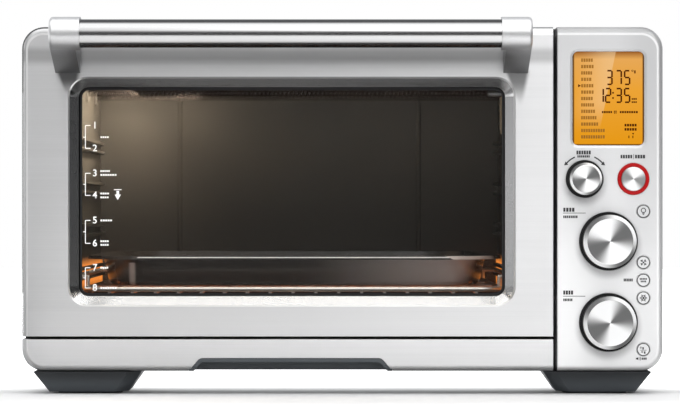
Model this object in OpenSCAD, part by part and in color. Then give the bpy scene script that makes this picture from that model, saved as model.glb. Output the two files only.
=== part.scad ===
// Countertop air fryer oven with a drop-down glass door, a crumb tray drawer and a dial control panel.
// Millimetres, +Z up, front towards -Y, origin under the middle of the whole oven on the worktop.

/* [Housing] */
// Width of the housing
body_w = 546; // [536:1:570]
// Height of the housing above its feet
body_h = 293; // [287:1:310]
// Depth from the door's face to the rear edge of the shell
body_d = 393; // [385:1:420]
// Radius of the four long corners of the housing
corner_r = 19; // [15:0.5:22]
// Radius that rolls the front edges back
edge_r = 5; // [3:0.5:7]
// Thickness of the outer steel sheet
sheet = 1; // [0.8:0.1:1.3]
// Thickness of the cavity's steel sheet
liner = 1; // [0.6:0.1:1.4]
// Thickness of the front frame
frame_t = 1.2; // [1:0.1:2]
// Depth that the rear panel sits inside the shell
rear_inset = 6; // [4:0.5:9]

/* [Front layout] */
// Depth of the door, the drawer front and the control panel
front_t = 25; // [24:0.5:28]
// Gap behind the door and the drawer front
seal_gap = 2; // [1.6:0.1:3]
// Width of the control panel
panel_w = 90; // [88:0.5:96]
// Gap between the door and the control panel
panel_gap = 3.6; // [2.5:0.1:5]
// Height of the drawer front
drawer_h = 27; // [26:0.5:32]
// Gap between the drawer front and the door
drawer_gap = 2.5; // [2.3:0.1:4]

/* [Door] */
// Distance from the door's left edge to the window recess
recess_left = 39.5; // [36:0.5:44]
// Distance from the door's right edge to the window recess
recess_right = 32; // [30:0.5:36]
// Distance from the door's top edge to the window recess
recess_top = 42.5; // [40:0.5:48]
// Distance from the door's bottom edge to the window recess
recess_bottom = 25.5; // [24:0.5:30]
// Corner radius of the window recess
recess_r = 17; // [15:0.5:20]
// Depth of the window recess
recess_depth = 9; // [7:0.5:11]
// Width of the recess's sloping border
bevel_w = 9.3; // [8.3:0.1:12]
// Thickness of the door glass
glass_t = 4; // [3:0.5:5]
// Distance of the hinge axis from the door's face and bottom edge
hinge_inset = 5; // [4.8:0.1:5.2]
// Radius of the hinge pins
hinge_pin_r = 2; // [1.6:0.1:2.2]

/* [Handle] */
// Diameter of the handle tube
handle_d = 24; // [20:0.5:26]
// Wall of the handle tube
handle_wall = 1.5; // [1:0.1:3]
// Diameter of the handle's end caps
cap_d = 28; // [27:0.5:30]
// Length of one end cap along the handle
cap_w = 26; // [24:0.5:30]
// Width of the arm behind an end cap
arm_w = 21; // [16:0.5:23]
// Distance from the door's face to the handle's centre
handle_reach = 33; // [30:0.5:33]
// Distance of the handle's centre below the top of the housing
handle_drop = 8.5; // [8:0.5:14]
// Distance that the handle runs past the window recess at each end
handle_overhang = 11.5; // [8:0.5:14]
// Height of the arm where it meets the door
arm_base_h = 37; // [30:0.5:40]

/* [Cavity] */
// Distance that the cooking cavity runs past the window recess at each side
cavity_side = 9.55; // [6.55:0.05:13.55]
// Distance of the cavity's roof below the top of the housing
roof_drop = 31; // [25:0.5:40]
// Distance between the cavity's back wall and the rear panel
rear_room = 28.8; // [20.8:0.1:34.8]
// Height of the cavity's sill above the door's bottom edge
sill_h = 8.5; // [8:0.5:12]
// Number of rack levels
rack_levels = 4; // [2:1:4]
// Height of the cavity above its top rack level
head_room = 64; // [58:0.5:76]
// Height of the lowest rack level above the sill
first_level = 40; // [36:1:44]
// Distance that a rack rail stands out from the wall
rail_w = 6; // [5:0.5:7]
// Radius of a quartz heating tube
tube_r = 5.5; // [4:0.5:6.5]
// Radius of a heating tube's ceramic end
ceramic_r = 8; // [7:0.5:9]
// Distance of the upper heating tubes below the roof
tube_drop = 12; // [11:0.5:16]
// Height of the lower heating tubes above the sill
tube_rise = 12; // [11:0.5:15]

/* [Rack and pan] */
// Radius of the rack's frame wire
rack_wire_r = 2.2; // [1.8:0.1:2.6]
// Radius of the rack's cross wires
cross_wire_r = 1.3; // [1:0.1:1.6]
// Distance between the rack's cross wires
cross_pitch = 20; // [16:1:26]
// Gap between the rack and the inside of the door
rack_gap = 22; // [21:0.5:26]
// Gap between the rack and the cavity's back wall
rack_back = 15.2; // [13.2:0.1:26.2]
// Drop of the rack's platform below its runners
rack_step = 10; // [8:0.5:12]
// Distance between the pan's floor and the rack's side wires
pan_side = 17.1; // [16.1:0.1:29.1]
// Distance between the pan's rim and the rack's front wire
pan_front = 14; // [12:0.5:24]
// Distance between the pan's floor and the rack's rear wire
pan_back = 12; // [10:0.5:34]
// Height of the roasting pan
pan_h = 26; // [24:1:60]
// Corner radius of the roasting pan's floor
pan_r = 40; // [24:1:60]
// Width of the roasting pan's rim
pan_rim = 13; // [8:0.5:14]
// Sideways lean of the roasting pan's wall
pan_lean = 5; // [2:0.5:6]
// Thickness of the roasting pan's sheet
pan_t = 1.2; // [0.8:0.1:2]

/* [Crumb tray] */
// Height of the crumb tray's side walls
tray_wall = 11; // [8:0.5:13]
// Width of the grip's cut-out along its lower edge
grip_w = 173; // [120:1:190]
// Height of the grip's cut-out
grip_h = 11; // [9:0.5:13]
// Width of the grip's visible border
grip_border = 3.3; // [2.5:0.1:4]

/* [Controls] */
// Wall of the control panel
panel_t = 2.2; // [1.8:0.1:2.6]
// Radius of the two large dials
dial_r = 22.5; // [20:0.5:23]
// Radius of the select dial
select_r = 13.6; // [12:0.2:14]
// Distance that a dial stands out from the panel
dial_out = 14; // [13:0.5:24]
// Black margin round a dial
well_margin = 2.5; // [1.5:0.1:3]
// Height of the time dial above the housing's bottom
time_h = 41.5; // [39:0.5:46]
// Height of the temperature dial above the time dial
temp_h = 69; // [64.5:0.5:71.5]
// Height of the select dial and the start button above the temperature dial
select_h = 53; // [49.5:0.5:57.5]
// Radius of the start button
start_r = 10.2; // [9:0.2:11]
// Width of the red ring round the start button
start_ring_w = 3.4; // [2.5:0.1:3.6]
// Radius of a small key
key_r = 5.8; // [4.6:0.1:6]
// Width of the display
display_w = 61; // [54:0.5:64]
// Gap between the display and the select dial
display_gap = 14.9; // [12.9:0.1:24.9]
// Distance of the display below the top of the housing
display_drop = 21; // [18:0.5:24]

/* [Fan and lamp] */
// Radius of the opening that the fan blows through
fan_open_r = 60; // [50:1:62]
// Depth of the fan housing
fan_depth = 32; // [28:1:36]
// Number of fan blades
fan_blades = 14; // [8:1:20]
// Width of the lamp lens
lamp_w = 44; // [36:1:46]
// Height of the lamp lens
lamp_h = 28; // [22:1:30]

/* [Feet] */
// Height of the housing above the worktop
foot_h = 20; // [16:1:26]
// Width of a foot at its top
foot_w = 91; // [76:1:96]
// Depth of a foot at its top
foot_d = 72; // [60:1:80]
// Distance that a foot draws in towards the worktop
foot_taper = 12; // [8:0.5:14]
// Height of the rubber pad that shows under a foot
pad_out = 1.5; // [1:0.1:2.5]

/* [Clearances] */
// Gap between a part and the seat that it rests on
seat_gap = 0.3; // [0.2:0.05:0.4]
// Running clearance of a pin or spindle in its bore
run_gap = 0.05; // [0.03:0.01:0.08]
// Gap round a key, a ceramic end or a trim piece in its hole
trim_gap = 0.2; // [0.15:0.05:0.3]

/* [Hidden] */
$fn = 96;
// Overlap that fuses two shapes of one piece, and overshoot of a cut
fuse = 0.5;
over = 1;

// Levels from front to back
overall_d = body_d + handle_reach + cap_d / 2;
y_front = -overall_d / 2 + handle_reach + cap_d / 2;
y_skin = y_front + sheet;
y_door_back = y_front + front_t;
y_frame = y_door_back + seal_gap;
y_shell = y_frame + frame_t;
y_back = y_front + body_d;
y_rear = y_back - rear_inset;
y_cavity_back = y_rear - rear_room;
cavity_d = y_cavity_back - y_shell;

// Levels from bottom to top
z_body = foot_h;
z_top = z_body + body_h;
z_drawer_top = z_body + drawer_h;
z_door = z_drawer_top + drawer_gap;
z_sill = z_door + sill_h;
z_roof = z_top - roof_drop;
cavity_h = z_roof - z_sill;
z_hinge = z_door + hinge_inset;
y_hinge = y_front + hinge_inset;

// Places across the front
x_left = -body_w / 2;
x_door = body_w / 2 - panel_w - panel_gap;
x_panel = body_w / 2 - panel_w;
panel_cx = body_w / 2 - panel_w / 2;
recess_w = x_door - x_left - recess_left - recess_right;
recess_h = z_top - z_door - recess_top - recess_bottom;
recess_x = x_left + recess_left;
recess_z = z_door + recess_bottom;
cavity_cx = recess_x + recess_w / 2;
cavity_w = recess_w + 2 * cavity_side;
x_cavity = cavity_cx - cavity_w / 2;
x_cavity_end = cavity_cx + cavity_w / 2;

// Base of the housing
lip_w = 40;
base_t = 1.2;
z_base = z_body + sheet;
z_base_top = z_base + base_t;
flange_w = 12;
screw_r = 1.5;
screw_head_r = 3.2;
screw_head_h = 1.8;
screw_len = 7;
gland_side = 48;
gland_up = 32;
gland_place = [body_w / 2 - gland_side, z_body + gland_up];
gland_bore_r = 4.2;
gland_neck_r = 8.8;
gland_flange_r = 12;

// Heating tubes, as places in the side walls
upper_tubes = 4;
lower_tubes = 2;
upper_margin = 45;
lower_margin = 85;
function spread(count, from, to) = [for (i = [0:count - 1]) from + (to - from) * i / (count - 1)];
tube_places = concat(
  [for (y = spread(upper_tubes, y_shell + upper_margin, y_cavity_back - upper_margin))
    [y, z_roof - tube_drop]],
  [for (y = spread(lower_tubes, y_shell + lower_margin, y_cavity_back - lower_margin))
    [y, z_sill + tube_rise]]
);
ceramic_in = 2;
ceramic_out = 14;
ceramic_flange = 1.5;
tube_seat = 6;

// Fan, lamp and probe in the right wall
fan_in = 138.6;
fan_place = [y_shell + fan_in, z_sill + cavity_h / 2];
fan_wheel_r = fan_open_r - 6;
fan_shaft_r = 3;
fan_wheel_gap = 3;
fan_hub_r = 10;
motor_r = 26;
motor_len = 38;
grille_margin = 9;
grille_t = 1.2;
grille_hole_r = 3;
grille_hole_pitch = 11;
lamp_drop = 33;
lamp_place = [(tube_places[2][0] + tube_places[3][0]) / 2, z_roof - lamp_drop];
lamp_r = 5;
probe_drop = 20;
probe_place = [(tube_places[0][0] + tube_places[1][0]) / 2, z_roof - probe_drop];
probe_r = 3;
probe_len = 26;

// Rack and pan levels
level_pitch = (cavity_h - first_level - head_room) / (rack_levels - 1);
z_runner = z_sill + first_level;
z_rack = z_runner - rack_step;
z_pan = z_rack + rack_wire_r + seat_gap;
y_rack = y_door_back + rack_gap;
rack_d = y_cavity_back - rack_back - y_rack;
rail_t = 4;
runner_inset = rail_w - rack_wire_r / 2;
post_run = 11;
platform_inset = runner_inset + post_run;
rack_corner = 14;
pan_w = cavity_w - 2 * (platform_inset + pan_side);
pan_d = rack_d - pan_front - pan_lean - pan_rim - pan_back;

// Drawer levels
runner_h = 8;
runner_out = 4;
z_tray = z_base_top + runner_h + seat_gap;
tray_side = 3;
grip_lean = 40;
grip_block_w = grip_w;
grip_shift = 1;
grip_cx = cavity_cx - grip_shift;
grip_corner = 6;
grip_back_gap = 2;
y_grip_back = y_door_back - grip_back_gap;
tray_back_gap = 10;

// Control stack behind the panel
board_t = 1.6;
board_back = 4;
y_board = y_door_back - board_back - board_t;
encoder_t = 6.5;
encoder_w = 13;
bush_r = 4.5;
stem_r = 3;
well_t = 1.2;
dial_gap = 2;
dial_chamfer = 3;
dial_wall = 2;
dial_boss = 6;
dial_shift = 1.7;
select_side = 22;
start_side = 19.5;
key_side = 28;
dial_x = panel_cx - dial_shift;
select_x = panel_cx - select_side;
start_x = panel_cx + start_side;
key_x = panel_cx + key_side;
z_time = z_body + time_h;
z_temp = z_time + temp_h;
z_select = z_temp + select_h;
display_h = z_top - display_drop - display_gap - select_r - z_select;
light_drop = 27.5;
key_pitch = 15.1;
key_rise = 1.4;
unit_drop = 23;
z_light = z_select - light_drop;
z_keys = (z_temp + z_time) / 2 + key_rise;
key_places = [
  for (z = [z_light, z_keys + key_pitch, z_keys, z_keys - key_pitch, z_time - unit_drop]) [key_x, z]
];
key_flange = 1;
key_proud = 0.2;
key_travel_room = 1.5;
lens_t = 2;
lens_drop = 1;
lens_r = 5;
lens_ledge = 1.5;
lens_bevel = 2.2;
dials = [
  [select_x, z_select, select_r],
  [dial_x, z_temp, dial_r],
  [dial_x, z_time, dial_r]
];

// Handle ends and arm
handle_x = recess_x - handle_overhang;
handle_len = recess_w + 2 * handle_overhang;
y_handle = y_front - handle_reach;
z_handle = z_top - handle_drop;
z_arm = z_handle + 6 - arm_base_h;
arm_side = 1;
handle_screw_r = 2.4;
handle_screw_rise = [9, 27];
handle_screw_z = [for (rise = handle_screw_rise) z_arm + rise];
handle_screw_x = [handle_x + arm_side + arm_w / 2, handle_x + handle_len - arm_side - arm_w / 2];
handle_screw_depth = 10;
handle_screw_gap = 1.5;
handle_head_r = 4.5;
handle_head_h = 2.5;

// Hinges
hinge_side = 23;
hinge_x = [x_left + hinge_side, x_door - hinge_side];
hinge_arm_t = 5;
hinge_eye_r = hinge_inset - sheet - seat_gap;
leaf_t = 2;
leaf_w = 26;
leaf_h = 20;
notch_w = hinge_arm_t + 2.4;
z_leaf = z_hinge + hinge_eye_r + 4;

// Rounded outlines

// Waste that a rounded corner leaves, with the corner at the origin
module corner_waste(r) {
  difference() {
    translate([-over, -over]) square(r + over);
    translate([r, r]) circle(r);
  }
}

// Rectangle with four round corners, from the origin
module rounded_rect(w, h, r) {
  difference() {
    square([w, h]);
    for (i = [0, 1], j = [0, 1])
      translate([i * w, j * h]) mirror([i, 0]) mirror([0, j]) corner_waste(r);
  }
}

// Sweeps a profile round a rounded rectangle: the profile's x is outward from the outline, its y is up
module sweep_round(w, h, r) {
  corners = [[w - r, h - r], [r, h - r], [r, r], [w - r, r]];
  runs = [h, w, h, w];
  for (i = [0:3]) {
    translate([corners[i][0], corners[i][1], 0]) rotate([0, 0, 90 * i]) {
      rotate_extrude(angle = 90) translate([r, 0]) children();
      rotate([90, 0, 0]) linear_extrude(runs[i] - 2 * r) translate([r, 0]) children();
    }
  }
}

// Slab with round corners whose upper edge rolls over
module rolled_slab(w, h, r, t, e) {
  sweep_round(w, h, r) translate([-r, 0]) difference() {
    square([r, t]);
    translate([r, t]) mirror([1, 0]) mirror([0, 1]) corner_waste(e);
  }
  translate([r, r, 0]) cube([w - 2 * r, h - 2 * r, t]);
}

// Places

// Sheet in the upright front plane, with its front face at y
module front_sheet(y, t) {
  translate([0, y + t, 0]) rotate([90, 0, 0]) linear_extrude(t) children();
}

// Sheet in a side plane, with its left face at x; the outline's x is depth and its y is height
module side_sheet(x, t) {
  translate([x, 0, 0]) rotate([90, 0, 90]) linear_extrude(t) children();
}

// Revolve about a line that runs from y towards the front
module front_turn(x, y, z) {
  translate([x, y, z]) rotate([90, 0, 0]) rotate_extrude() children();
}

// Revolve about a line that runs from x to the right
module side_turn(x, y, z) {
  translate([x, y, z]) rotate([0, 90, 0]) rotate_extrude() children();
}

// Round rod between two points
module rod(a, b, r) {
  v = b - a;
  translate(a) rotate([0, acos(v[2] / norm(v)), atan2(v[1], v[0])]) cylinder(h = norm(v), r = r);
}

// Outline of the housing, drawn in by a distance
module housing_outline(inset) {
  translate([x_left + inset, z_body + inset])
    rounded_rect(body_w - 2 * inset, body_h - 2 * inset, corner_r - inset);
}

// Outline of the window recess, drawn in by a distance
module recess_outline(inset) {
  translate([recess_x + inset, recess_z + inset])
    rounded_rect(recess_w - 2 * inset, recess_h - 2 * inset, recess_r - inset);
}

// The whole front of the oven as one rolled slab, drawn in by a distance and lengthened to the rear
module front_form(inset, rear) {
  translate([x_left + inset, y_door_back + rear, z_body + inset]) rotate([90, 0, 0])
    rolled_slab(
      body_w - 2 * inset, body_h - 2 * inset, corner_r - inset, front_t - inset + rear, edge_r - inset
    );
}

// Block across the front between two places and two heights
module front_block(x0, x1, z0, z1, rear) {
  translate([x0, y_front - over, z0]) cube([x1 - x0, front_t + rear + over, z1 - z0]);
}

// Hollow cover that the front form leaves between two places and two heights
module front_cover(x0, x1, z0, z1, wall, rear) {
  difference() {
    intersection() {
      front_form(0, rear);
      front_block(x0, x1, z0, z1, rear);
    }
    intersection() {
      front_form(wall, rear + over);
      front_block(x0 + wall, x1 - wall, z0 + wall, z1 - wall, rear + over);
    }
  }
}

// Housing

vent_count = 12;
vent_pitch = 11;
vent_w = 3;
vent_h = 40;
vent_low = 40;
vent_rear = 60;
y_vents = y_rear - vent_rear - vent_count * vent_pitch;
screw_places = [
  for (x = [-1, 0, 1], z = [z_body + flange_w / 2, z_top - flange_w / 2]) [x * (body_w / 2 - corner_r), z],
  for (x = [-1, 1]) [x * (body_w - flange_w) / 2, z_body + body_h / 2]
];

module screw_holes(y) {
  for (p = screw_places)
    translate([p[0], y - over, p[1]]) rotate([-90, 0, 0])
      cylinder(h = base_t + 2 * over, r = screw_r + trim_gap);
}

module outer_shell() {
  color("silver") difference() {
    union() {
      front_sheet(y_shell, y_back - y_shell) difference() {
        housing_outline(0);
        housing_outline(sheet);
        translate([x_left + lip_w, z_body - over]) square([body_w - 2 * lip_w, sheet + 2 * over]);
      }
      front_sheet(y_rear - sheet, sheet) difference() {
        housing_outline(sheet / 2);
        housing_outline(flange_w);
      }
    }
    screw_holes(y_rear - sheet);
    for (i = [0:vent_count - 1])
      translate([x_left - over, y_vents + i * vent_pitch, z_body + vent_low])
        cube([body_w + 2 * over, vent_w, vent_h]);
  }
}

base_margin = corner_r + over;
bead_r = 2.5;
bead_front = 40;
bead_rear = 60;
bead_gap = 0.35;
bead_x = x_cavity_end + runner_out + bead_gap + bead_r;

module base_pan() {
  color("gainsboro") {
    translate([x_left + base_margin, y_shell, z_base])
      cube([body_w - 2 * base_margin, y_rear - sheet - seat_gap - y_shell, base_t]);
    for (x = [-bead_x, 0, bead_x])
      translate([x, y_shell + bead_front, z_base_top]) intersection() {
        rotate([-90, 0, 0]) cylinder(h = y_rear - y_shell - bead_front - bead_rear, r = bead_r);
        translate([-bead_r, 0, -fuse]) cube([2 * bead_r, body_d, bead_r + fuse]);
      }
  }
}

rear_vent_count = 14;
rear_vent_w = 30;
rear_vent_h = 4;
rear_vent_pitch = 10;
rear_vent_step = 40;
rear_vent_low = 80;
rear_vent_left = 153;
rear_vent_right = 123;
rear_vent_x = [
  for (x = [x_left + rear_vent_left, body_w / 2 - rear_vent_right], k = [0, 1]) x + k * rear_vent_step
];

module rear_panel() {
  color("gainsboro") difference() {
    front_sheet(y_rear, base_t) housing_outline(sheet + seat_gap);
    screw_holes(y_rear);
    translate([gland_place[0], y_rear - over, gland_place[1]]) rotate([-90, 0, 0])
      cylinder(h = base_t + 2 * over, r = gland_neck_r + trim_gap);
    for (x = rear_vent_x, i = [0:rear_vent_count - 1])
      translate([x, y_rear - over, z_body + rear_vent_low + i * rear_vent_pitch])
        cube([rear_vent_w, base_t + 2 * over, rear_vent_h]);
  }
}

module cord_gland() {
  y_end = y_rear + base_t;
  color("dimgray") translate([gland_place[0], y_end, gland_place[1]]) rotate([-90, 0, 0]) rotate_extrude()
    polygon([
      [gland_bore_r, -6], [gland_neck_r + 2.5, -6], [gland_neck_r + 2.5, -base_t], [gland_neck_r, -base_t],
      [gland_neck_r, 0], [gland_flange_r, 0], [gland_flange_r, 1.5], [gland_flange_r - 1, 2.5],
      [gland_neck_r - 1, 4], [gland_bore_r, 4]
    ]);
}

mouth_r = 8;
slot_margin = 9;
slot_low = 4;
slot_high = 1;
cable_opening = 46;

module front_frame() {
  color("silver") front_sheet(y_frame, frame_t) difference() {
    housing_outline(0);
    translate([x_cavity, z_sill]) rounded_rect(cavity_w, cavity_h, mouth_r);
    translate([x_left + corner_r, z_body + slot_low])
      square([x_door - slot_margin - x_left - corner_r, drawer_h - slot_low - slot_high]);
    translate([panel_cx - cable_opening / 2, z_body + body_h / 2])
      rounded_rect(cable_opening, cable_opening, mouth_r);
  }
}

module case_screws() {
  y_head = y_rear + base_t;
  color("gray") for (p = screw_places)
    translate([p[0], y_head, p[1]]) rotate([-90, 0, 0]) rotate_extrude()
      polygon([
        [0, -screw_len], [screw_r, -screw_len], [screw_r, 0], [screw_head_r, 0],
        [screw_head_r, screw_head_h / 2], [screw_head_r * 0.6, screw_head_h], [0, screw_head_h]
      ]);
}

foot_relief = 0.5;
foot_chamfer = 11;
foot_front = 2;
foot_rear = 20;
foot_inset = 10.2;
y_front_feet = y_front + foot_front;
y_rear_feet = y_rear - foot_rear - foot_d;
pad_in = 1.5;
pad_margin = 6;
pad_r = 6;

// Outline of a left foot with its front inner corner cut off
module foot_outline(inset) {
  w = foot_w - 2 * inset;
  d = foot_d - 2 * inset;
  c = foot_chamfer;
  translate([inset, inset]) polygon([[0, 0], [w - c, 0], [w, c], [w, d], [0, d]]);
}

// One tapered foot, from its outer front corner
module foot() {
  difference() {
    hull() {
      translate([0, 0, z_body - sheet]) linear_extrude(sheet) foot_outline(0);
      translate([0, 0, pad_out]) linear_extrude(sheet) foot_outline(foot_taper);
    }
    foot_pad_place() translate([0, 0, pad_in]) linear_extrude(pad_in) pad_outline(0);
    translate([-over, -over, z_body - foot_relief])
      cube([foot_w + 2 * over, y_shell - y_front_feet + over, body_h]);
  }
}

// Puts its children under a foot, on the worktop
module foot_pad_place() {
  m = foot_taper + pad_margin;
  translate([m, m, 0]) children();
}

module pad_outline(inset) {
  m = 2 * (foot_taper + pad_margin + inset);
  translate([inset, inset]) rounded_rect(foot_w - m, foot_d - m - foot_chamfer / 2, pad_r - inset);
}

// Puts its children at the left and right feet of one row
module feet_row(y, turned) {
  for (side = [0, 1])
    mirror([side, 0, 0]) translate([x_left + foot_inset, y, 0])
      translate([0, turned ? foot_d : 0, 0]) mirror([0, turned ? 1 : 0, 0]) children();
}

module front_feet() {
  color("darkslategray") feet_row(y_front_feet, false) foot();
}

module rear_feet() {
  color("darkslategray") feet_row(y_rear_feet, true) foot();
}

module foot_pads() {
  color("black") {
    feet_row(y_front_feet, false) foot_pad_place() linear_extrude(2 * pad_in) pad_outline(trim_gap);
    feet_row(y_rear_feet, true) foot_pad_place() linear_extrude(2 * pad_in) pad_outline(trim_gap);
  }
}

// Cavity

wall_rise = 2;
z_wall = z_drawer_top + wall_rise;

// Side wall of the cavity, with its left face at x
module cavity_side(x) {
  side_sheet(x, liner) difference() {
    translate([y_shell, z_wall]) square([cavity_d, z_roof - z_wall]);
    for (p = tube_places) translate(p) circle(ceramic_r + trim_gap);
    children();
  }
}

module cavity_left_wall() {
  color("gray") cavity_side(x_cavity - liner);
}

module cavity_right_wall() {
  color("gray") cavity_side(x_cavity_end) {
    translate(fan_place) circle(fan_open_r);
    translate(lamp_place - [lamp_w, lamp_h] / 2) rounded_rect(lamp_w, lamp_h, lamp_r);
    translate(probe_place) circle(probe_r + trim_gap);
  }
}

emboss_side = 80;
emboss_top = 6;
emboss_low = 40;
emboss_r = 14;
emboss_bead = 2.5;

module cavity_back_wall() {
  w = cavity_w + 2 * liner;
  color("gray") {
    front_sheet(y_cavity_back, liner)
      translate([x_cavity - liner, z_wall]) square([w, z_roof - z_wall]);
    translate([x_cavity + emboss_side, y_cavity_back + emboss_bead / 3, z_sill + emboss_low])
      rotate([90, 0, 0])
        sweep_round(cavity_w - 2 * emboss_side, cavity_h - emboss_low - emboss_top, emboss_r)
          circle(emboss_bead);
  }
}

roof_rib_h = 6;
roof_rib_margin = 20;
roof_rib_in = 82.5;

module cavity_roof() {
  w = cavity_w + 2 * liner;
  color("gray") {
    translate([x_cavity - liner, y_shell, z_roof]) cube([w, cavity_d + liner, liner]);
    for (y = spread(3, y_shell + roof_rib_in, y_cavity_back - roof_rib_in))
      translate([x_cavity + roof_rib_margin, y, z_roof])
        cube([cavity_w - 2 * roof_rib_margin, liner, liner + roof_rib_h]);
  }
}

// Puts its children at both sides of the cavity, drawn for the left wall with x from the wall
module cavity_sides() {
  translate([cavity_cx, 0, 0]) for (side = [0, 1])
    mirror([side, 0, 0]) translate([-cavity_w / 2, 0, 0]) children();
}

rail_margin = 14;

// Rail rib along the wall, with its lower edge at z
module rail_rib(z) {
  translate([0, y_cavity_back - rail_margin, z]) rotate([90, 0, 0])
    linear_extrude(cavity_d - 2 * rail_margin)
      polygon([[0, 0], [rail_w, 0.2 * rail_t], [rail_w, 0.8 * rail_t], [0, rail_t]]);
}

module rack_rails() {
  color("gray") cavity_sides() for (i = [0:rack_levels - 1]) {
    z = z_runner + i * level_pitch;
    rail_rib(z - rack_wire_r - seat_gap - 0.8 * rail_t - 0.4);
    rail_rib(z + rack_wire_r + 2 * seat_gap);
  }
}

runner_ledge = 12;
runner_web = 1.5;
runner_end = 10;

module tray_runners() {
  color("gainsboro") cavity_sides()
    translate([-runner_out, y_cavity_back - runner_end, z_base_top]) rotate([90, 0, 0])
      linear_extrude(cavity_d - 2 * runner_end) polygon([
        [0, 0], [runner_ledge, 0], [runner_ledge, runner_web], [runner_web, runner_web],
        [runner_web, runner_h - runner_web], [runner_ledge, runner_h - runner_web],
        [runner_ledge, runner_h], [0, runner_h]
      ]);
}

module quartz_tubes() {
  color("orange") for (p = tube_places)
    side_turn(x_cavity - tube_seat, p[0], p[1])
      translate([tube_r - 1.2, 0]) square([1.2, cavity_w + 2 * tube_seat]);
}

module ceramic_ends() {
  color("ivory") cavity_sides() for (p = tube_places)
    side_turn(0, p[0], p[1]) polygon([
      [0, -ceramic_out], [ceramic_r - 1, -ceramic_out], [ceramic_r, 1 - ceramic_out], [ceramic_r, 0],
      [ceramic_r + ceramic_flange, 0], [ceramic_r + ceramic_flange, ceramic_in],
      [tube_r + run_gap, ceramic_in], [tube_r + run_gap, -tube_seat - seat_gap], [0, -tube_seat - seat_gap]
    ]);
}

module fan_grille() {
  rings = floor((fan_open_r - grille_hole_r - 2) / grille_hole_pitch);
  color("gray") side_sheet(x_cavity_end + liner, grille_t) translate(fan_place) difference() {
    circle(fan_open_r + grille_margin);
    circle(grille_hole_r);
    for (k = [1:rings], i = [0:6 * k - 1])
      rotate(60 * i / k) translate([k * grille_hole_pitch, 0]) circle(grille_hole_r);
  }
}

x_fan = x_cavity_end + liner + grille_t;

module fan_housing() {
  r = fan_open_r + 3;
  color("lightgray") side_turn(x_fan, fan_place[0], fan_place[1]) polygon([
    [r - 1, 0], [r + 6, 0], [r + 6, 1], [r, 1], [r, fan_depth], [fan_shaft_r + 2, fan_depth],
    [fan_shaft_r + 2, fan_depth - 1], [r - 1, fan_depth - 1]
  ]);
}

module fan_motor() {
  x = x_fan + fan_depth;
  color("dimgray") difference() {
    union() {
      side_turn(x, fan_place[0], fan_place[1]) polygon([
        [0, 0], [motor_r * 0.6, 0], [motor_r * 0.6, 4], [motor_r, 6],
        [motor_r, motor_len - 4], [motor_r * 0.5, motor_len], [0, motor_len]
      ]);
      translate([x + 12, fan_place[0] - motor_r - 6, fan_place[1] - motor_r - 3])
        cube([16, 2 * motor_r + 12, 2 * motor_r + 6]);
    }
    translate([x - over, fan_place[0], fan_place[1]]) rotate([0, 90, 0])
      cylinder(h = motor_len - 6, r = fan_shaft_r + run_gap);
  }
}

module fan_wheel() {
  x = x_fan + fan_wheel_gap;
  depth = fan_depth - 2 * fan_wheel_gap - 3;
  color("lightgray") {
    side_turn(x, fan_place[0], fan_place[1]) polygon([
      [0, 2], [fan_hub_r, 2], [fan_hub_r, depth - 1.5], [fan_wheel_r, depth - 1.5], [fan_wheel_r, depth],
      [fan_shaft_r, depth], [fan_shaft_r, fan_depth + motor_len / 2], [0, fan_depth + motor_len / 2]
    ]);
    for (i = [0:fan_blades - 1])
      translate([x, fan_place[0], fan_place[1]]) rotate([360 * i / fan_blades, 0, 0])
        translate([0, 0, fan_wheel_r * 0.45]) rotate([18, 0, 0])
          cube([depth - 1, 1.2, fan_wheel_r * 0.5]);
  }
}

lens_out = 2;
lens_lap = 4;

module lamp_lens() {
  color("white") {
    side_sheet(x_cavity_end - lens_out, lens_out)
      translate(lamp_place - [lamp_w / 2 + lens_lap, lamp_h / 2 + lens_lap])
        rounded_rect(lamp_w + 2 * lens_lap, lamp_h + 2 * lens_lap, lamp_r + lens_lap);
    for (z = spread(5, -0.35 * lamp_h, 0.35 * lamp_h))
      translate([x_cavity_end - lens_out, lamp_place[0] - lamp_w / 2, lamp_place[1] + z])
        rotate([-90, 0, 0]) cylinder(h = lamp_w, r = 1.2);
  }
}

holder_d = 26;
holder_wall = 3;
bulb_r = 6.5;
bulb_len = 12;

module lamp_holder() {
  x = x_cavity_end + liner;
  color("ivory") difference() {
    side_sheet(x, holder_d) translate(lamp_place - [lamp_w / 2 + holder_wall, lamp_h / 2 + holder_wall])
      rounded_rect(lamp_w + 2 * holder_wall, lamp_h + 2 * holder_wall, lamp_r);
    side_sheet(x - over, holder_d - 2 + over) translate(lamp_place - [lamp_w, lamp_h] / 2)
      rounded_rect(lamp_w, lamp_h, lamp_r);
  }
}

module lamp_bulb() {
  x = x_cavity_end + liner + holder_d - 2;
  color("lightyellow") translate([x, lamp_place[0], lamp_place[1]]) rotate([0, -90, 0]) rotate_extrude()
    difference() {
      union() {
        square([bulb_r, bulb_len]);
        translate([0, bulb_len]) circle(bulb_r);
      }
      translate([-2 * bulb_r, -bulb_r]) square([2 * bulb_r, bulb_len + 3 * bulb_r]);
    }
}

module temperature_probe() {
  color("silver") side_turn(x_cavity_end - probe_len, probe_place[0], probe_place[1]) polygon([
    [0, 0], [probe_r - 1, 0], [probe_r, 1], [probe_r, probe_len + liner], [probe_r + 4, probe_len + liner],
    [probe_r + 4, probe_len + liner + 5], [0, probe_len + liner + 5]
  ]);
}

// Control panel

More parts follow.
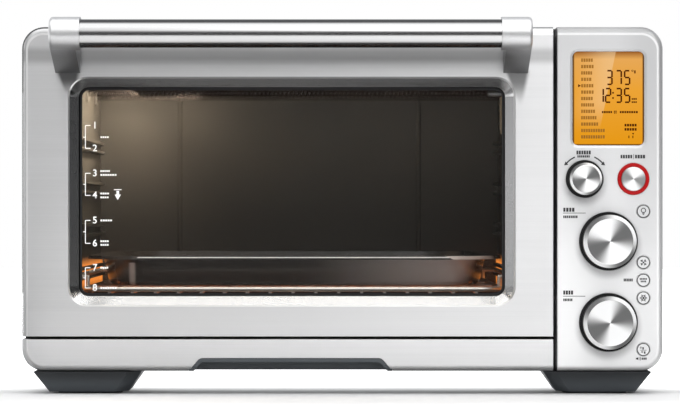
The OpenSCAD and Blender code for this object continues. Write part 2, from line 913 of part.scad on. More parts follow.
function lens_corner() = [dial_x - display_w / 2, z_top - display_drop - display_h];
boss_r = 4;
boss_side = 11;
boss_top = 12;
boss_over_key = 10;
boss_under_key = 16;
boss_key_side = 15;
boss_rise = 2.6;
boss_places = [
  [x_panel + boss_side, z_top - boss_top], [x_panel + panel_w - boss_side, z_light + boss_over_key],
  [x_panel + boss_side, z_keys + boss_rise], [x_panel + panel_w - boss_key_side, z_light - boss_under_key]
];

// Cut into the panel's face, as deep as given
module panel_cut(depth) {
  front_sheet(y_front - over, depth + over) children();
}

// Outline of the display lens, drawn in by a distance
module lens_outline(inset) {
  translate(lens_corner() + [inset, inset])
    rounded_rect(display_w - 2 * inset, display_h - 2 * inset, lens_r - inset);
}

module control_panel() {
  c = lens_corner();
  color("lightgray") difference() {
    union() {
      front_cover(x_panel, body_w / 2, z_body, z_top, panel_t, seal_gap);
      for (p = boss_places)
        translate([p[0], y_board, p[1]]) rotate([90, 0, 0])
          cylinder(h = y_board - y_front - panel_t / 2, r = boss_r);
    }
    panel_cut(panel_t + over) lens_outline(lens_ledge);
    panel_cut(lens_drop + lens_t) lens_outline(0);
    translate([c[0], y_front + lens_drop, c[1]]) rotate([90, 0, 0]) sweep_round(display_w, display_h, lens_r)
      polygon([
        [-fuse, 0], [0, 0], [lens_bevel, lens_drop], [lens_bevel, lens_drop + over], [-fuse, lens_drop + over]
      ]);
    for (d = dials) {
      panel_cut(well_t) translate([d[0], d[1]]) circle(d[2] + well_margin);
      panel_cut(panel_t + over) translate([d[0], d[1]]) circle(bush_r + 2);
    }
    panel_cut(panel_t + over) translate([start_x, z_select]) circle(start_r + start_ring_w);
    for (p = key_places) panel_cut(panel_t + over) translate(p) circle(key_r + trim_gap);
  }
}

module display_lens() {
  color("orange") front_sheet(y_front + lens_drop, lens_t) lens_outline(trim_gap);
}

module display_module() {
  y = y_front + lens_drop + lens_t;
  color("white") front_sheet(y, y_board - y) lens_outline(lens_ledge + trim_gap);
}

module control_board() {
  m = panel_t + 2;
  color("darkgreen") front_sheet(y_board, board_t) translate([x_panel + m, z_body + corner_r])
    square([panel_w - 2 * m, body_h - 2 * corner_r + 6]);
}

y_bush = y_board - encoder_t + fuse;
encoder_floor = 2;

module encoders() {
  color("gray") for (d = dials) difference() {
    union() {
      front_sheet(y_board - encoder_t, encoder_t) translate([d[0], d[1]]) square(encoder_w, center = true);
      front_turn(d[0], y_bush, d[1]) square([bush_r, y_bush - y_front - panel_t]);
    }
    translate([d[0], y_board - encoder_floor, d[1]]) rotate([90, 0, 0])
      cylinder(h = front_t, r = stem_r + run_gap);
  }
}

module dial_wells() {
  color("black") for (d = dials)
    front_sheet(y_front + trim_gap, well_t - trim_gap) translate([d[0], d[1]]) difference() {
      circle(d[2] + well_margin - trim_gap);
      circle(bush_r);
    }
}

// Section of a spun dial cap, from its axis outwards, with its rear edge at zero
module dial_section(r) {
  h = dial_out - dial_gap;
  roof = h - dial_wall - 1;
  rim = r - dial_chamfer;
  polygon([
    [0, roof - dial_boss], [bush_r + 1, roof - dial_boss], [bush_r + 1, roof],
    [r - dial_wall - 1, roof], [r - dial_wall, 0],
    [r, 0], [r, h - dial_chamfer], [rim, h], [rim - 0.6, h - 0.5], [0, h]
  ]);
}

stem_room = 4;
spindle_reach = dial_out - dial_gap - dial_wall - 2;

// A dial cap with its own stem, at one of the dial places
module stemmed_dial(d) {
  depth = y_board - stem_room - y_front;
  front_turn(d[0], y_front - dial_gap, d[1]) {
    dial_section(d[2]);
    translate([0, -depth - dial_gap]) square([stem_r, depth + dial_gap + spindle_reach]);
  }
}

module temperature_dial() {
  color("silver") stemmed_dial(dials[1]);
}

module time_dial() {
  color("silver") stemmed_dial(dials[2]);
}

module select_spindle() {
  d = dials[0];
  y = y_board - stem_room;
  color("gray") front_turn(d[0], y, d[1]) square([stem_r, y - y_front + dial_gap + spindle_reach]);
}

module select_dial() {
  d = dials[0];
  color("silver") front_turn(d[0], y_front - dial_gap, d[1]) difference() {
    dial_section(d[2]);
    square([stem_r + run_gap, spindle_reach + seat_gap]);
  }
}

module start_ring() {
  y = y_front + panel_t;
  color("red") front_turn(start_x, y + 2, z_select) polygon([
    [start_r + trim_gap, 0], [start_r + start_ring_w + 2, 0], [start_r + start_ring_w + 2, 2],
    [start_r + start_ring_w - run_gap, 2], [start_r + start_ring_w - run_gap, panel_t + 2.6],
    [start_r + start_ring_w - 0.6, panel_t + 3], [start_r + trim_gap, panel_t + 2.6]
  ]);
}

start_proud = 2;

module start_button() {
  y = y_front + panel_t + 2 + seat_gap;
  h = y - y_front + start_proud;
  color("silver") front_turn(start_x, y, z_select) polygon([
    [0, -6], [4, -6], [4, -1.5], [start_r + 2, -1.5], [start_r + 2, 0], [start_r, 0],
    [start_r, h - 0.8], [start_r - 0.8, h], [0, h]
  ]);
}

// One small round key with a retaining flange and a plunger
module small_key(p) {
  y = y_front + panel_t + seat_gap + key_flange;
  cap = y - y_front + key_proud;
  stem = y_board - key_travel_room - y;
  color("gainsboro") front_turn(p[0], y, p[1]) polygon([
    [0, -stem], [2, -stem], [2, 0], [key_r + 1, 0], [key_r + 1, key_flange], [key_r, key_flange],
    [key_r, cap - 0.3], [key_r - 0.3, cap], [0, cap]
  ]);
}

module light_key() { small_key(key_places[0]); }
module fan_key() { small_key(key_places[1]); }
module phase_key() { small_key(key_places[2]); }
module frozen_key() { small_key(key_places[3]); }
module unit_key() { small_key(key_places[4]); }

power_w = 78;
power_d = 150;
power_side = 20;
power_rear = 40;
standoff_h = 8;
standoff_r = 3;
standoff_in = 8;
relay = [20, 16, 16];
relay_in = [8, 12];
relay_pitch = 26;
transformer = [34, 42, 30];
transformer_in = [36, 20];
capacitor_r = 11;
capacitor_h = 26;
capacitor_in = [52, 100];

module power_board() {
  z = z_base_top + standoff_h;
  color("darkgreen") translate([x_cavity_end + power_side, y_rear - power_rear - power_d, 0]) {
    translate([0, 0, z]) cube([power_w, power_d, board_t]);
    for (x = [standoff_in, power_w - standoff_in], y = [standoff_in, power_d - standoff_in])
      translate([x, y, z_base_top]) cylinder(h = standoff_h + fuse, r = standoff_r);
    translate([0, 0, z + board_t - fuse]) {
      for (j = [0:3]) translate([relay_in[0], relay_in[1] + j * relay_pitch, 0]) cube(relay);
      translate([transformer_in[0], transformer_in[1], 0]) cube(transformer);
      translate([capacitor_in[0], capacitor_in[1], 0]) cylinder(h = capacitor_h, r = capacitor_r);
    }
  }
}

// Door

glass_front = recess_depth + 2.5;
lip_t = 1.3;
gasket_show = 1.7;
gasket_back = 2.8;
glass_cover = 2;
flange_in = 6;

// Sloping border of the window recess, from the door's face to its lip
module recess_bevel() {
  land = bevel_w - 2.3;
  translate([recess_x, y_front, recess_z]) rotate([90, 0, 0]) sweep_round(recess_w, recess_h, recess_r)
    polygon([
      [fuse, 0], [0, 0], [-bevel_w, -recess_depth], [-bevel_w, -recess_depth - lip_t],
      [-land, -recess_depth - lip_t], [fuse, -lip_t]
    ]);
}

// Room that each hinge arm sweeps through the door's rear lower edge
module hinge_notches() {
  for (x = hinge_x)
    translate([x - notch_w / 2, y_skin, z_door - over])
      cube([notch_w, front_t, z_hinge + hinge_eye_r + seat_gap - z_door + over]);
}

module handle_screw_holes(r) {
  for (x = handle_screw_x, z = handle_screw_z)
    translate([x, y_skin + over, z]) rotate([90, 0, 0]) cylinder(h = sheet + 2 * over, r = r);
}

module door_panel() {
  color("silver") difference() {
    union() {
      difference() {
        front_cover(x_left, x_door, z_door, z_top, sheet, 0);
        front_sheet(y_front - over, sheet + 2 * over) recess_outline(0);
      }
      recess_bevel();
    }
    hinge_notches();
    handle_screw_holes(handle_screw_r + trim_gap);
  }
}

module glass_gasket() {
  y = y_front + recess_depth + lip_t;
  color("black") front_sheet(y, glass_front - recess_depth - lip_t) difference() {
    recess_outline(bevel_w - gasket_back);
    recess_outline(bevel_w + gasket_show);
  }
}

module door_glass() {
  color("lightcyan", 0.4) front_sheet(y_front + glass_front, glass_t) recess_outline(glass_cover);
}

module door_inner_panel() {
  y = y_door_back - sheet;
  margin = sheet + seat_gap;
  color("gray") difference() {
    intersection() {
      front_sheet(y, sheet) housing_outline(margin);
      front_block(x_left, x_door - margin, z_door + margin, z_top, 0);
    }
    front_sheet(y - over, sheet + 2 * over) recess_outline(flange_in);
    hinge_notches();
  }
}

strip_foot = 9;
strip_end = 14;

// Bent strip along the z axis, with its lip on the glass and its foot on the inner panel
module glass_strip(len) {
  tip = y_front + glass_front + glass_t;
  y = y_door_back - sheet;
  linear_extrude(len) polygon([
    [0, tip], [0, y], [-strip_foot, y], [-strip_foot, y - sheet], [-sheet, y - sheet], [-sheet, tip]
  ]);
}

module glass_strips() {
  x = recess_x + flange_in;
  z = recess_z + flange_in;
  w = recess_w - 2 * flange_in;
  h = recess_h - 2 * flange_in;
  color("gray") {
    translate([x, 0, z + strip_end]) glass_strip(h - 2 * strip_end);
    translate([x + w, 0, z + strip_end]) mirror([1, 0, 0]) glass_strip(h - 2 * strip_end);
    translate([x + strip_end, 0, z]) rotate([0, 90, 0]) mirror([1, 0, 0]) glass_strip(w - 2 * strip_end);
    translate([x + strip_end, 0, z + h]) rotate([0, 90, 0]) glass_strip(w - 2 * strip_end);
  }
}

module handle_tube() {
  color("silver") side_turn(handle_x + cap_w - 6, y_handle, z_handle)
    translate([handle_d / 2 - handle_wall, 0]) square([handle_wall, handle_len - 2 * cap_w + 12]);
}

// Left end cap and arm; the right one is its mirror image
module handle_bracket() {
  r = cap_d / 2;
  reach = 0.985 * r;
  top_angle = 35;
  low_angle = 215;
  difference() {
    union() {
      side_turn(handle_x, y_handle, z_handle) polygon([
        [0, 0], [r - 2, 0.6], [r - 0.5, 1.6], [r, 3], [r, cap_w], [0, cap_w]
      ]);
      side_sheet(handle_x + arm_side, arm_w) polygon([
        [y_front, z_arm], [y_front, z_arm + arm_base_h],
        [y_handle + reach * sin(top_angle), z_handle + reach * cos(top_angle)],
        [y_handle, z_handle],
        [y_handle + reach * sin(low_angle), z_handle + reach * cos(low_angle)]
      ]);
    }
    side_turn(handle_x + cap_w - 6 - seat_gap, y_handle, z_handle)
      square([handle_d / 2 + run_gap, 6 + seat_gap + over]);
    for (z = handle_screw_z)
      translate([handle_screw_x[0], y_front + over, z]) rotate([90, 0, 0])
        cylinder(h = handle_screw_depth + over, r = handle_screw_r + run_gap);
  }
}

module left_handle_bracket() {
  color("silver") handle_bracket();
}

module right_handle_bracket() {
  color("silver") translate([2 * handle_x + handle_len, 0, 0]) mirror([1, 0, 0]) handle_bracket();
}

module handle_screws() {
  y = y_skin + handle_head_h;
  tip = y - y_front + handle_screw_depth - handle_screw_gap;
  color("gray") for (x = handle_screw_x, z = handle_screw_z)
    front_turn(x, y, z) polygon([
      [0, 0], [handle_head_r - 1, 0], [handle_head_r, 1], [handle_head_r, handle_head_h],
      [handle_screw_r, handle_head_h], [handle_screw_r, tip], [0, tip]
    ]);
}

// Plate that links the hinge axis with an upright edge: an eye on the axis and a web to two points
module hinge_web(x, t, points) {
  side_sheet(x - t / 2, t) difference() {
    union() {
      translate([y_hinge, z_hinge]) circle(hinge_eye_r);
      polygon(points);
    }
    translate([y_hinge, z_hinge]) circle(hinge_pin_r + run_gap);
  }
}

module hinge_brackets() {
  plate_w = 20;
  low = z_hinge - 0.75 * hinge_eye_r;
  high = z_hinge + 0.75 * hinge_eye_r;
  color("dimgray") for (x = hinge_x) {
    hinge_web(x, hinge_arm_t, [[y_hinge, low], [y_frame, low], [y_frame, high], [y_hinge, high]]);
    translate([x - plate_w / 2, y_frame - frame_t, low]) cube([plate_w, frame_t, high - low]);
  }
}

hinge_pin_len = hinge_arm_t + 2 * leaf_t + 4;

module hinge_pins() {
  color("silver") for (x = hinge_x)
    translate([x - hinge_pin_len / 2, y_hinge, z_hinge]) rotate([0, 90, 0])
      cylinder(h = hinge_pin_len, r = hinge_pin_r);
}

module hinge_leaves() {
  y = y_door_back - sheet;
  ear = hinge_arm_t / 2 + seat_gap + leaf_t / 2;
  color("dimgray") for (x = hinge_x) {
    for (side = [-1, 1])
      hinge_web(x + side * ear, leaf_t, [
        [y_hinge - 0.9 * hinge_eye_r, z_hinge], [y_hinge + 0.9 * hinge_eye_r, z_hinge - 0.3],
        [y, z_leaf], [y, z_leaf + leaf_h], [y - 4, z_leaf + leaf_h]
      ]);
    translate([x - leaf_w / 2, y - sheet, z_leaf]) cube([leaf_w, sheet, leaf_h]);
  }
}

// Rack and pan

runner_short = 20;
post_in = 30;
bar_in = 98;

module wire_rack() {
  w = cavity_w - 2 * platform_inset;
  x0 = cavity_cx - w / 2;
  r = rack_wire_r;
  post_r = 0.9 * r;
  wires = floor((w - 2 * cross_pitch) / cross_pitch);
  first = cavity_cx - wires * cross_pitch / 2;
  color("silver") {
    translate([x0 + r, y_rack + r, z_rack]) sweep_round(w - 2 * r, rack_d - 2 * r, rack_corner) circle(r);
    for (i = [0:wires])
      translate([first + i * cross_pitch, y_rack + r - 1, z_rack - r - cross_wire_r + fuse])
        rotate([-90, 0, 0]) cylinder(h = rack_d - 2 * r + 2, r = cross_wire_r);
    for (y = [y_rack + bar_in, y_rack + rack_d - bar_in])
      translate([x0 + r, y, z_rack]) rotate([0, 90, 0]) cylinder(h = w - 2 * r, r = r);
    cavity_sides() {
      translate([runner_inset, y_rack + runner_short, z_runner]) rotate([-90, 0, 0])
        cylinder(h = rack_d - 2 * runner_short, r = r);
      for (y = [y_rack + post_in, y_rack + rack_d - post_in]) {
        bend = [platform_inset + r, y, z_runner];
        rod([runner_inset, y, z_runner], bend, post_r);
        translate(bend) sphere(post_r);
        rod([platform_inset + r, y, z_rack], bend, post_r);
      }
    }
  }
}

module roasting_pan() {
  x0 = cavity_cx - pan_w / 2;
  y0 = y_rack + pan_front + pan_lean + pan_rim;
  h = pan_h;
  color("dimgray") translate([x0, y0, z_pan]) {
    sweep_round(pan_w, pan_d, pan_r) polygon([
      [-12, 0], [-3, 0], [0, 3], [pan_lean, h - pan_t], [pan_lean + pan_rim - 1, h - pan_t],
      [pan_lean + pan_rim, h - 3], [pan_lean + pan_rim + pan_t, h - 3], [pan_lean + pan_rim, h],
      [pan_lean - pan_t, h], [-pan_t, 3 + pan_t / 2], [-3 - pan_t / 2, pan_t], [-12, pan_t]
    ]);
    translate([10, 10, 0]) linear_extrude(pan_t) rounded_rect(pan_w - 20, pan_d - 20, pan_r - 10);
  }
}

// Crumb tray drawer

// Outline of the grip's cut-out with leaning ends, drawn in by a distance, on the housing's lower edge
module grip_outline(inset) {
  r = grip_corner - inset;
  h = grip_h - inset;
  x0 = grip_w / 2 - inset / cos(grip_lean);
  x1 = x0 - ((h - r) * sin(grip_lean) + r) / cos(grip_lean);
  side = [x1 + r * cos(grip_lean), h - r + r * sin(grip_lean)];
  translate([grip_cx, z_body]) {
    polygon([[-x0, 0], [x0, 0], side, [x1, h], [-x1, h], [-side[0], side[1]]]);
    for (i = [-1, 1]) translate([i * x1, h - r]) circle(r);
  }
}

grip_proud = 0.4;
grip_top = 20;
grip_wall = 2.5;

module drawer_front() {
  color("silver") difference() {
    front_cover(x_left, x_door, z_body, z_drawer_top, sheet, 0);
    front_sheet(y_front - over, edge_r + 2 * over) grip_outline(-trim_gap);
    translate([grip_cx - grip_block_w / 2 - trim_gap, y_skin, z_body - over])
      cube([grip_block_w + 2 * trim_gap, front_t, grip_top + over]);
  }
}

module drawer_grip() {
  color("darkslategray") difference() {
    union() {
      intersection() {
        front_sheet(y_front - grip_proud, edge_r + 2 * grip_proud) grip_outline(0);
        front_form(-grip_proud, 0);
      }
      intersection() {
        translate([grip_cx - grip_block_w / 2, y_skin, z_body])
          cube([grip_block_w, y_grip_back - y_skin, grip_top]);
        front_form(0, 0);
      }
    }
    front_sheet(y_front - over, sheet + grip_wall + 2 * over) {
      grip_outline(grip_border);
      translate([grip_cx - grip_w / 2 + grip_border / cos(grip_lean), z_body - over])
        square([grip_w - 2 * grip_border / cos(grip_lean), 2 * over]);
    }
    translate([grip_cx - grip_w / 2 + grip_border, y_skin + grip_wall, z_body - over])
      cube([grip_w - 2 * grip_border, y_grip_back - y_skin - 2 * grip_wall, grip_top - grip_wall + over]);
  }
}

module crumb_tray() {
  x0 = x_cavity + tray_side;
  w = cavity_w - 2 * tray_side;
  depth = y_cavity_back - tray_back_gap - y_grip_back;
  color("lightgray") {
    difference() {
      translate([x0, y_grip_back, z_tray]) cube([w, depth, tray_wall]);
      translate([x0 + sheet, y_grip_back + sheet, z_tray + sheet])
        cube([w - 2 * sheet, depth - 2 * sheet, tray_wall]);
    }
    for (x = spread(4, x0 + 0.2 * w, x0 + 0.8 * w))
      translate([x, y_grip_back + 40, z_tray + sheet - fuse]) cube([3, depth - 80, fuse + 1.2]);
  }
}

outer_shell();
base_pan();
rear_panel();
cord_gland();
front_frame();
cavity_left_wall();
cavity_right_wall();
cavity_back_wall();
cavity_roof();
rack_rails();
tray_runners();
quartz_tubes();
ceramic_ends();
fan_grille();
fan_housing();
fan_motor();
fan_wheel();
lamp_lens();
lamp_bulb();
lamp_holder();
temperature_probe();
control_panel();
display_lens();
display_module();
control_board();
encoders();
dial_wells();
start_ring();
power_board();
front_feet();
rear_feet();
foot_pads();
hinge_brackets();
hinge_pins();
case_screws();
door_panel();
door_inner_panel();
glass_strips();
door_glass();
glass_gasket();
handle_tube();
left_handle_bracket();
right_handle_bracket();
handle_screws();
hinge_leaves();
wire_rack();
roasting_pan();
crumb_tray();
drawer_front();
drawer_grip();
select_spindle();
select_dial();
temperature_dial();
time_dial();
start_button();
light_key();
fan_key();
phase_key();
frozen_key();
unit_key();
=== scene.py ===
import math

import bpy
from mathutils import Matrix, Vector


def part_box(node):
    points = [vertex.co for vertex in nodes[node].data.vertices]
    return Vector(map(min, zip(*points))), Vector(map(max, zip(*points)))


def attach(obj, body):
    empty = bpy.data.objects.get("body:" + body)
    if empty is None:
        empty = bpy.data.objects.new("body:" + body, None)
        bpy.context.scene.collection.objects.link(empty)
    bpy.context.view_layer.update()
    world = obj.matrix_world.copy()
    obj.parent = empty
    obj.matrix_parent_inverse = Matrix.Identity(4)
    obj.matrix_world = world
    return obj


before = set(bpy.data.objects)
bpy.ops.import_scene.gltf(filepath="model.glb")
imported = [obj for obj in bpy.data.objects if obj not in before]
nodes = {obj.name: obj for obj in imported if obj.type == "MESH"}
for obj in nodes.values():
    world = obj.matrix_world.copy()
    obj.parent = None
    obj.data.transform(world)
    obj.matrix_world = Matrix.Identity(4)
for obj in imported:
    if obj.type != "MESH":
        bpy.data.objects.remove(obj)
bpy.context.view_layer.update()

# Studio
# The oven stands on a white table in a white room. A broad lamp hangs over it, a scrim leans over the camera,
# brighter to the right, and dark and grey cloths lie where only the bright metal sees them.
front_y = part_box("door_panel")[0].y
eye_x = -0.002
eye_z = 0.1571
eye_gap = 1.95
lens = bpy.data.cameras.new("camera")
lens.sensor_width = 36
lens.lens = 121.4
camera = bpy.data.objects.new("camera", lens)
camera.location = (eye_x, front_y - eye_gap, eye_z)
camera.rotation_euler = (math.radians(90), 0, 0)
bpy.context.scene.collection.objects.link(camera)
bpy.context.scene.camera = camera
bpy.context.scene.view_settings.view_transform = "Standard"

daylight = (0.95, 0.97, 1.0, 1)
room = bpy.data.worlds.new("room")
bpy.context.scene.world = room
room.use_nodes = True
room_nodes = room.node_tree.nodes
seen = room_nodes["Background"]
seen.inputs["Color"].default_value = (1, 1, 1, 1)
seen.inputs["Strength"].default_value = 1.0
around = room_nodes.new("ShaderNodeBackground")
around.inputs["Color"].default_value = daylight
around.inputs["Strength"].default_value = 0.3
mirrored = room_nodes.new("ShaderNodeBackground")
mirrored.inputs["Color"].default_value = daylight
way_out = room_nodes.new("ShaderNodeTexCoord")
axes = room_nodes.new("ShaderNodeSeparateXYZ")
backward = room_nodes.new("ShaderNodeMapRange")
for key, value in (("From Min", -0.05), ("From Max", 0.3), ("To Min", 0.07), ("To Max", 0.55)):
    backward.inputs[key].default_value = value
ray = room_nodes.new("ShaderNodeLightPath")
indirect = room_nodes.new("ShaderNodeMixShader")
either = room_nodes.new("ShaderNodeMixShader")
for source, target in (
    (way_out.outputs["Generated"], axes.inputs[0]),
    (axes.outputs["Y"], backward.inputs["Value"]),
    (backward.outputs[0], mirrored.inputs["Strength"]),
    (ray.outputs["Is Glossy Ray"], indirect.inputs[0]),
    (around.outputs[0], indirect.inputs[1]),
    (mirrored.outputs[0], indirect.inputs[2]),
    (ray.outputs["Is Camera Ray"], either.inputs[0]),
    (indirect.outputs[0], either.inputs[1]),
    (seen.outputs[0], either.inputs[2]),
    (either.outputs[0], room_nodes["World Output"].inputs["Surface"])
):
    room.node_tree.links.new(source, target)


def studio_lamp(name, place, aim, width, height, glow, colour=(1, 1, 1)):
    lamp = bpy.data.lights.new(name, "AREA")
    lamp.shape = "RECTANGLE"
    lamp.size = width
    lamp.size_y = height
    lamp.energy = glow * math.pi * width * height
    lamp.color = colour
    stand = bpy.data.objects.new(name, lamp)
    stand.location = place
    way = tuple(a - p for a, p in zip(aim, place))
    stand.rotation_euler = (math.atan2(math.hypot(way[0], way[1]), -way[2]), 0, math.atan2(-way[0], way[1]))
    stand.visible_camera = False
    bpy.context.scene.collection.objects.link(stand)
    return stand


for name, place, aim, width, height, glow, matt, glossy in (
    ("overhead", (0.2, -0.95, 1.75), (0.2, -0.9, 0), 2.8, 1.5, 2.7, True, False),
    ("overhead_card", (0.0, -0.775, 1.7), (0.0, -0.77, 0), 3.0, 1.65, 1.7, False, True),
    ("front_wash", (0.4, -2.6, 1.3), (0.0, -0.2, 0.15), 2.4, 1.2, 0.6, True, False),
    ("left_card", (-1.6, 0.1, 0.6), (0, 0.1, 0.6), 2.6, 1.2, 0.5, True, True),
    ("rear_wash", (0.0, 1.6, 1.9), (0, 1.2, 0.0), 3.5, 1.2, 3.0, True, False)
):
    lamp = studio_lamp(name, place, aim, width, height, glow)
    lamp.visible_diffuse = matt
    lamp.visible_glossy = glossy


# One socket of a finish. Sums and products of values add the nodes that work them out.
class Value:
    def __init__(self, finish, socket):
        self.finish = finish
        self.socket = socket

    def work(self, operation, other=0.0, swapped=False):
        first, second = (other, self) if swapped else (self, other)
        return self.finish.add("ShaderNodeMath", {"operation": operation}, {0: first, 1: second})

    def __add__(self, other):
        return self.work("ADD", other)

    def __radd__(self, other):
        return self.work("ADD", other, True)

    def __sub__(self, other):
        return self.work("SUBTRACT", other)

    def __rsub__(self, other):
        return self.work("SUBTRACT", other, True)

    def __mul__(self, other):
        return self.work("MULTIPLY", other)

    def __truediv__(self, other):
        return self.work("DIVIDE", other)

    def __gt__(self, other):
        return self.work("GREATER_THAN", other)

    def __lt__(self, other):
        return self.work("LESS_THAN", other)


# One finish. It is laid on by place: the Object coordinates are the oven's own, in metres.
class Finish:
    def __init__(self, name, **constants):
        self.material = bpy.data.materials.new(name)
        self.material.use_nodes = True
        self.tree = self.material.node_tree
        self.shader = self.tree.nodes["Principled BSDF"]
        self.place = self.add("ShaderNodeTexCoord", {}, {}, "Object")
        for socket, value in constants.items():
            self.shader.inputs[socket.replace("_", " ").title().replace("Ior", "IOR")].default_value = value

    def add(self, kind, settings, inputs, output=0):
        node = self.tree.nodes.new(kind)
        for key, value in settings.items():
            if key == "stops":
                ramp = node.color_ramp
                while len(ramp.elements) < len(value):
                    ramp.elements.new(1.0)
                for element, (at, colour) in zip(ramp.elements, value):
                    element.position = at
                    element.color = (*colour, 1)
            else:
                setattr(node, key, value)
        for key, value in inputs.items():
            if isinstance(value, Value):
                self.tree.links.new(value.socket, node.inputs[key])
            else:
                node.inputs[key].default_value = value
        return Value(self, node.outputs[output])

    def feed(self, socket, value):
        self.tree.links.new(value.socket, self.shader.inputs[socket])

    def axes(self):
        return [self.add("ShaderNodeSeparateXYZ", {}, {0: self.place}, i) for i in range(3)]

    def noise(self, stretch, detail=2.0, roughness=0.5):
        spread = self.add("ShaderNodeMapping", {}, {"Vector": self.place, "Scale": stretch})
        inputs = {"Vector": spread, "Scale": 1.0, "Detail": detail, "Roughness": roughness}
        return self.add("ShaderNodeTexNoise", {}, inputs)

    def step(self, value, low, high):
        smooth = {"interpolation_type": "SMOOTHSTEP"}
        return self.add("ShaderNodeMapRange", smooth, {0: value, 1: low, 2: high})

    def mix(self, factor, first, second):
        both = [c if isinstance(c, Value) else (*c, 1) for c in (first, second)]
        return self.add("ShaderNodeMix", {"data_type": "RGBA"}, {0: factor, 6: both[0], 7: both[1]}, 2)

    def relief(self, height, depth, edge=0.0):
        inputs = {"Height": height, "Strength": 1.0, "Distance": depth}
        if edge:
            inputs["Normal"] = self.add("ShaderNodeBevel", {"samples": 4}, {"Radius": edge})
        self.feed("Normal", self.add("ShaderNodeBump", {}, inputs))

    def on(self, *names):
        for name in names:
            for slot in nodes[name].material_slots:
                slot.material = self.material


def stage_sheet(name, low, high, finish):
    bpy.ops.object.select_all(action="DESELECT")
    middle = [(a + b) / 2 for a, b in zip(low, high)]
    slope = math.atan2(high[2] - low[2], high[1] - low[1])
    bpy.ops.mesh.primitive_plane_add(size=1, location=middle, rotation=(slope, 0, 0))
    sheet = bpy.context.object
    sheet.name = name
    sheet.scale = (high[0] - low[0], math.hypot(high[1] - low[1], high[2] - low[2]), 1)
    bpy.ops.object.transform_apply(location=True, rotation=True, scale=True)
    sheet.data.materials.append(finish.material)
    return sheet


paper = Finish("table_finish", roughness=0.9, specular_ior_level=0.1, emission_strength=1.0)
x, y, _ = paper.axes()
behind = paper.step(y, -0.15, -0.06)
aside = paper.step(x * x, 0.8, 1.6)
before = paper.step(0 - y, 0.22, 0.36) * (0.2 + paper.step(x, -0.6, 0.5) * 0.35)
fibre = paper.noise((90, 90, 90), 3)
paper.feed("Base Color", paper.mix(fibre, (0.86, 0.86, 0.86), (0.9, 0.9, 0.9)))
lit = paper.mix(behind, paper.mix(before, (0, 0, 0), (1, 1, 1)), (1, 1, 1))
paper.feed("Emission Color", paper.mix(aside, lit, (1, 1, 1)))
stage_sheet("table", (-5, -5, 0), (5, 4, 0), paper)

felt = Finish("dark_cloth_finish", roughness=1.0, specular_ior_level=0.0)
nap = felt.noise((300, 300, 300), 3)
felt.feed("Base Color", felt.mix(nap, (0.008, 0.008, 0.008), (0.03, 0.03, 0.03)))
gauze = Finish("scrim_finish", roughness=1.0, specular_ior_level=0.0, emission_strength=3.4)
weft = gauze.noise((60, 60, 60), 2)
gauze.feed("Base Color", gauze.mix(weft, (0.1, 0.1, 0.1), (0.12, 0.12, 0.12)))
x, _, z = gauze.axes()
fall = gauze.step(z, 0.7, 1.4) * (0.3 + gauze.step(x, -0.6, 0.5) * 0.7)
gauze.feed("Emission Color", gauze.mix(fall, (0, 0, 0), (1, 1, 1)))
linen = Finish("grey_cloth_finish", roughness=1.0, specular_ior_level=0.0)
warp = linen.noise((200, 200, 200), 3)
linen.feed("Base Color", linen.mix(warp, (0.26, 0.26, 0.26), (0.34, 0.34, 0.34)))
for name, low, high, finish in (
    ("left_cloth", (-1.4, -0.45, 0.007), (-0.285, 0.7, 0.007), linen),
    ("side_cloth", (0.29, -0.12, 0.005), (0.8, 0.7, 0.005), linen),
    ("rear_cloth", (-1.6, 0.24, 0.006), (1.6, 2.2, 0.006), linen),
    ("front_cloth", (-0.6, -0.235, 0.002), (0.6, -0.176, 0.002), felt),
    ("right_cloth", (0.45, -1.3, 0.003), (2.6, 0.6, 0.003), felt),
    ("far_cloth", (-3, -5, 0.004), (3, -1.1, 0.004), felt),
    ("scrim", (-1.7, -3.3, 0.7), (1.7, -1.6, 1.7), gauze)
):
    sheet = stage_sheet(name, low, high, finish)
    sheet.visible_camera = False
    sheet.visible_shadow = False
    sheet.visible_diffuse = False


# Outer shell and front frame
# Stainless steel sheet with a fine horizontal brush, bent round the corners and spot-welded. The brush marks
# run the width of the oven, a few of them deeper, and a thin film of polish dulls the sheet in broad clouds.
# Steel that faces down is painted darker, a painted shade, and the front frame is painted near black, a
# painted shade that keeps the gap round the door dark.
def brushed_steel(name, tone, rough, metal=1.0, spread=0.0):
    steel = Finish(name, metallic=metal, anisotropic=spread, anisotropic_rotation=0.25)
    fine = steel.noise((6, 6, 1500), 3, 0.7)
    coarse = steel.noise((2.2, 2.2, 330), 2, 0.6)
    cloud = steel.noise((5, 5, 7), 2)
    streak = fine * 0.6 + coarse * 0.4
    light = tuple(c * 1.07 for c in tone)
    dark = tuple(c * 0.9 for c in tone)
    # Steel that faces down is painted darker, a painted shade.
    normal = steel.add("ShaderNodeNewGeometry", {}, {}, "Normal")
    under = steel.step(0 - steel.add("ShaderNodeSeparateXYZ", {}, {0: normal}, 2), 0.3, 0.9)
    steel.tone = steel.mix(under, steel.mix(streak, dark, light), tuple(c * 0.25 for c in tone))
    steel.wear = rough - 0.09 + streak * 0.14 + cloud * 0.05
    steel.feed("Base Color", steel.tone)
    steel.feed("Roughness", steel.wear)
    steel.relief(streak, 0.00002, 0.0007)
    return steel


brushed_steel("housing_steel_finish", (0.74, 0.74, 0.745), 0.3).on("outer_shell")
# The front frame is painted near black, a painted shade that keeps the gap round the door dark.
frame_shade = Finish("frame_shade_finish", metallic=0.3)
frame_mottle = frame_shade.noise((500, 500, 500), 2)
frame_shade.feed("Base Color", frame_shade.mix(frame_mottle, (0.012, 0.012, 0.012), (0.022, 0.022, 0.023)))
frame_shade.feed("Roughness", 0.5 + frame_mottle * 0.2)
frame_shade.relief(frame_mottle, 0.00003, 0.0006)
frame_shade.on("front_frame")

